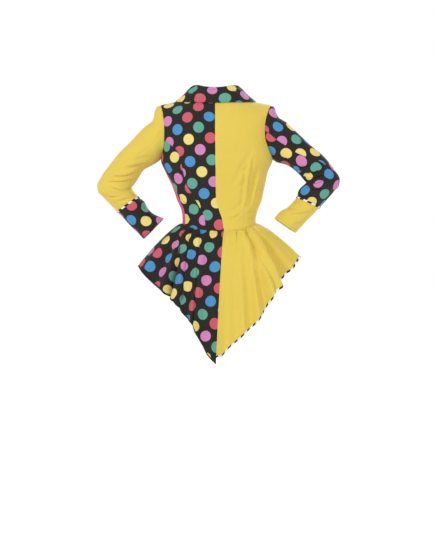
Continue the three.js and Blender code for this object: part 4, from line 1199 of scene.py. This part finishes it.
for side in ("left", "right"):
    turns = np.linspace(0, 360, 144, endpoint=False)
    here = sleeve(side, turns, np.full(turns.shape, float(CUFF_SEAM)))
    down = sleeve(side, turns, np.full(turns.shape, CUFF_SEAM + 0.1)) - here
    down = down / np.linalg.norm(down, axis=-1, keepdims=True)
    round_arm = np.roll(here, -1, 0) - np.roll(here, 1, 0)
    away = np.cross(down, round_arm)
    away = away / np.linalg.norm(away, axis=-1, keepdims=True)
    centre = here.mean(0)
    away *= np.sign(((here - centre) * away).sum(-1, keepdims=True))
    strip(f"cuff_strip_{side}", here + away * STRIP_LIFT, down, away, check,
          f"cuff_piping_{side}", closed=True)


# Peplum: a flared flounce in four pieces, gathered into the waist seam and falling to a point
# behind. The printed and the yellow back pieces meet at the middle, the pink and the yellow
# front ones part, and deep soft folds run down from the gathers to the wavy hem.
GATHERS = {"back": 10, "front": 9}
GATHER_DEPTH = 4.2
GATHER_REACH = 0.34
SPRING_OUT, SPRING_DOWN = 0.36, 0.12
FRONT_PARTING = 14
TAIL_STEP = 0.972
HEM_STITCH_INSET, HEM_STITCH_PITCH = 7.6, 3.4
# station along the waist, x, y, z of the hem below it
hems = {
    ("back", "left"): curve([
        (0, -2, -186, -866), (0.1, -29, -194, -837), (0.2, -50, -186, -798),
        (0.3, -68, -190, -763), (0.38, -81, -196, -736), (0.46, -103, -160, -707),
        (0.55, -135, -178, -668), (0.63, -154, -136, -650), (0.71, -181, -150, -627),
        (0.8, -209, -98, -605), (0.9, -246, -90, -568), (1, -261, -34, -548)]),
    ("back", "right"): curve([
        (0, -2, -186, -866), (0.12, 38, -196, -815), (0.22, 66, -183, -791),
        (0.32, 91, -194, -768), (0.42, 117, -172, -744), (0.52, 139, -184, -722),
        (0.62, 161, -152, -684), (0.71, 185, -163, -645), (0.79, 216, -142, -612),
        (0.85, 206, -92, -598), (0.92, 249, -66, -560), (1, 281, -20, -515)]),
    ("front", "left"): curve([
        (0, -261, -34, -548), (0.12, -264, 8, -547), (0.25, -240, 50, -552),
        (0.37, -230, 98, -558), (0.5, -188, 118, -563), (0.62, -160, 158, -568),
        (0.75, -108, 160, -574), (0.87, -62, 190, -580), (1, 20 - FRONT_PARTING, 186, -588)]),
    ("front", "right"): curve([
        (0, 281, -20, -515), (0.12, 283, 22, -517), (0.25, 256, 62, -524),
        (0.37, 244, 108, -532), (0.5, 200, 128, -541), (0.62, 172, 164, -550),
        (0.75, 126, 166, -560), (0.87, 82, 192, -572), (1, 20 + FRONT_PARTING, 188, -588)]),
}
# station at the waist and at the hem, depth at both, width at both, overhang at both, in mm
long_folds = {
    ("back", "left"): [(0.60, 0.50, 5, 9, 6, 12, 5, 16), (0.78, 0.63, 5, 9, 6, 12, 5, 15),
                       (0.40, 0.36, 4, 7, 6, 12, 4, 11), (0.20, 0.17, 3, 2, 7, 18, 0, 0)],
    ("back", "right"): [(0.55, 0.74, 4, 10, 7, 16, 0, 10), (0.30, 0.36, 3, 3, 7, 22, 0, 0),
                        (0.12, 0.16, 3, 1, 7, 20, 0, 0), (0.80, 0.90, 3, 5, 6, 14, 0, 0)],
    ("front", "left"): [(0.3, 0.3, 4, 7, 7, 14, 0, 10), (0.62, 0.6, 4, 6, 7, 16, 0, 0)],
    ("front", "right"): [(0.28, 0.3, 4, 7, 7, 14, 0, 10), (0.6, 0.62, 4, 6, 7, 16, 0, 0)],
}


def waist_point(side, face, station):
    seam = level(side, "back", WAIST_SIDE_Z)[3]
    if face == "back":
        angle = station * seam
        return bodice(side, "back", angle, waist_z(angle))
    angle = mix(seam, math.pi, station)
    return bodice(side, "front", math.pi - angle, waist_z(angle))


def peplum(side, face, station, share):
    """Cloth springs out from the waist and then falls; share 0 is the waist and 1 the hem."""
    station, share = np.broadcast_arrays(np.asarray(station, float), np.asarray(share, float))
    cut = 1.0
    if side == "right" and face == "back":
        cut = mix(TAIL_STEP, 1, ease(station / 0.06))
    drop = share * cut
    top = waist_point(side, face, station)
    hem = np.stack(hems[face, side](station), -1)
    out = hem - top
    out[..., 2] = 0
    spring = top + out * SPRING_OUT
    spring[..., 2] += (hem - top)[..., 2] * SPRING_DOWN
    d = drop[..., None]
    here = top * (1 - d) ** 2 + spring * 2 * d * (1 - d) + hem * d * d
    out = out / np.linalg.norm(out, axis=-1, keepdims=True)
    reach = GATHER_REACH * (1 + 0.3 * np.sin(station * 31 + 1.0) + 0.3 * np.sin(station * 13))
    fade = ease(drop / 0.05) * np.clip(1 - drop / reach, 0, 1) ** 1.4
    uneven = 1 + 0.35 * np.sin(station * 17) + 0.3 * np.sin(station * 43 + 2)
    phase = 2 * math.pi * GATHERS[face] * station
    lean = 0.9 * np.sin(station * 23) + 0.6 * np.sin(station * 9 + 1) * ease(drop / 0.2)
    wave = np.sin(phase + lean) + 0.22 * np.sin(2 * phase + 1.1)
    bulge = GATHER_DEPTH * fade * uneven * wave
    along_hem = np.gradient(here, axis=0)
    width = np.linalg.norm(along_hem, axis=-1)
    sideways = along_hem / width[..., None]
    run = np.cumsum(width, 0)
    over = np.zeros(drop.shape)
    for waist_at, hem_at, *rest in long_folds[face, side]:
        depth, wide, overhang = (mix(rest[i], rest[i + 1], drop) for i in (0, 2, 4))
        at = mix(waist_at, hem_at, ease(drop[0] / 0.9))
        centre = np.array([np.interp(place, station[:, 0], column)
                           for place, column in zip(at, run.T)])
        q = (run - centre) / wide
        depth = depth * ease(drop / 0.06)
        bulge = bulge - depth * (1.15 * np.exp(-q * q) - 0.75 * np.exp(-((q + 1.9) ** 2))
                                 - 0.45 * np.exp(-((q - 1.9) ** 2)))
        over = over + overhang * np.exp(-(((q + 1.0) / 0.9) ** 2))
    return here + out * bulge[..., None] + sideways * over[..., None]


peplum_cloth = {
    ("back", "left"): (dotted, "dotted_cloth"), ("back", "right"): (yellow, "yellow_cloth"),
    ("front", "left"): (pink, "pink_cloth"), ("front", "right"): (yellow, "yellow_cloth"),
}
COLUMNS_A_GATHER = 16
GATHERS_PAST_SIDE = 1
drops = 1 - mix(np.linspace(0, 1, 105), close_at_ends(104), 0.4)
hem_of = {}

for side in ("left", "right"):
    behind, before = (peplum(side, face, np.linspace(0, 1, GATHERS[face] * COLUMNS_A_GATHER + 1)
                             [:, None], drops[None, :]) for face in ("back", "front"))
    round_waist = np.concatenate([behind, before[1:]])
    side_column = (GATHERS["back"] + GATHERS_PAST_SIDE) * COLUMNS_A_GATHER
    panels = {"back": round_waist[:side_column + 1], "front": round_waist[side_column:]}
    fall = round_waist[:, 0] - round_waist[:, 2]
    fall = fall / np.linalg.norm(fall, axis=-1, keepdims=True)
    hem_of[side] = (round_waist[:, 0] - fall * STRIP_WIDTH / 2, fall)
    for face, points in panels.items():
        points = outside_order(points, side == "left")
        points = pressed(points, [], seam_depth=0.3, rumple=0.9)
        node = f"peplum_{face}_{side}"
        topstitch(f"hem_stitches_{face}_{side}", node,
                  *line_beside(points, "bottom", HEM_STITCH_INSET),
                  peplum_cloth[face, side][1], pitch=HEM_STITCH_PITCH)
        cut_and_sew(node, points, *peplum_cloth[face, side],
                    laid=((-47.8, -526.2), (0, 3), (-0.9, -552.4), (1, 0))
                    if (face, side) == ("back", "left") else None)

# Hem strips: the yellow half of the hem carries the check, the printed and pink half a narrow
# black binding. Each runs from the point behind to the parting in front.
for side in ("left", "right"):
    line, fall = hem_of[side]
    run = np.gradient(line, axis=0)
    away = np.cross(run, fall)
    away = away / np.linalg.norm(away, axis=-1, keepdims=True)
    strip(f"hem_strip_{side}", line, fall, away, check if side == "right" else black,
          f"hem_piping_{side}")
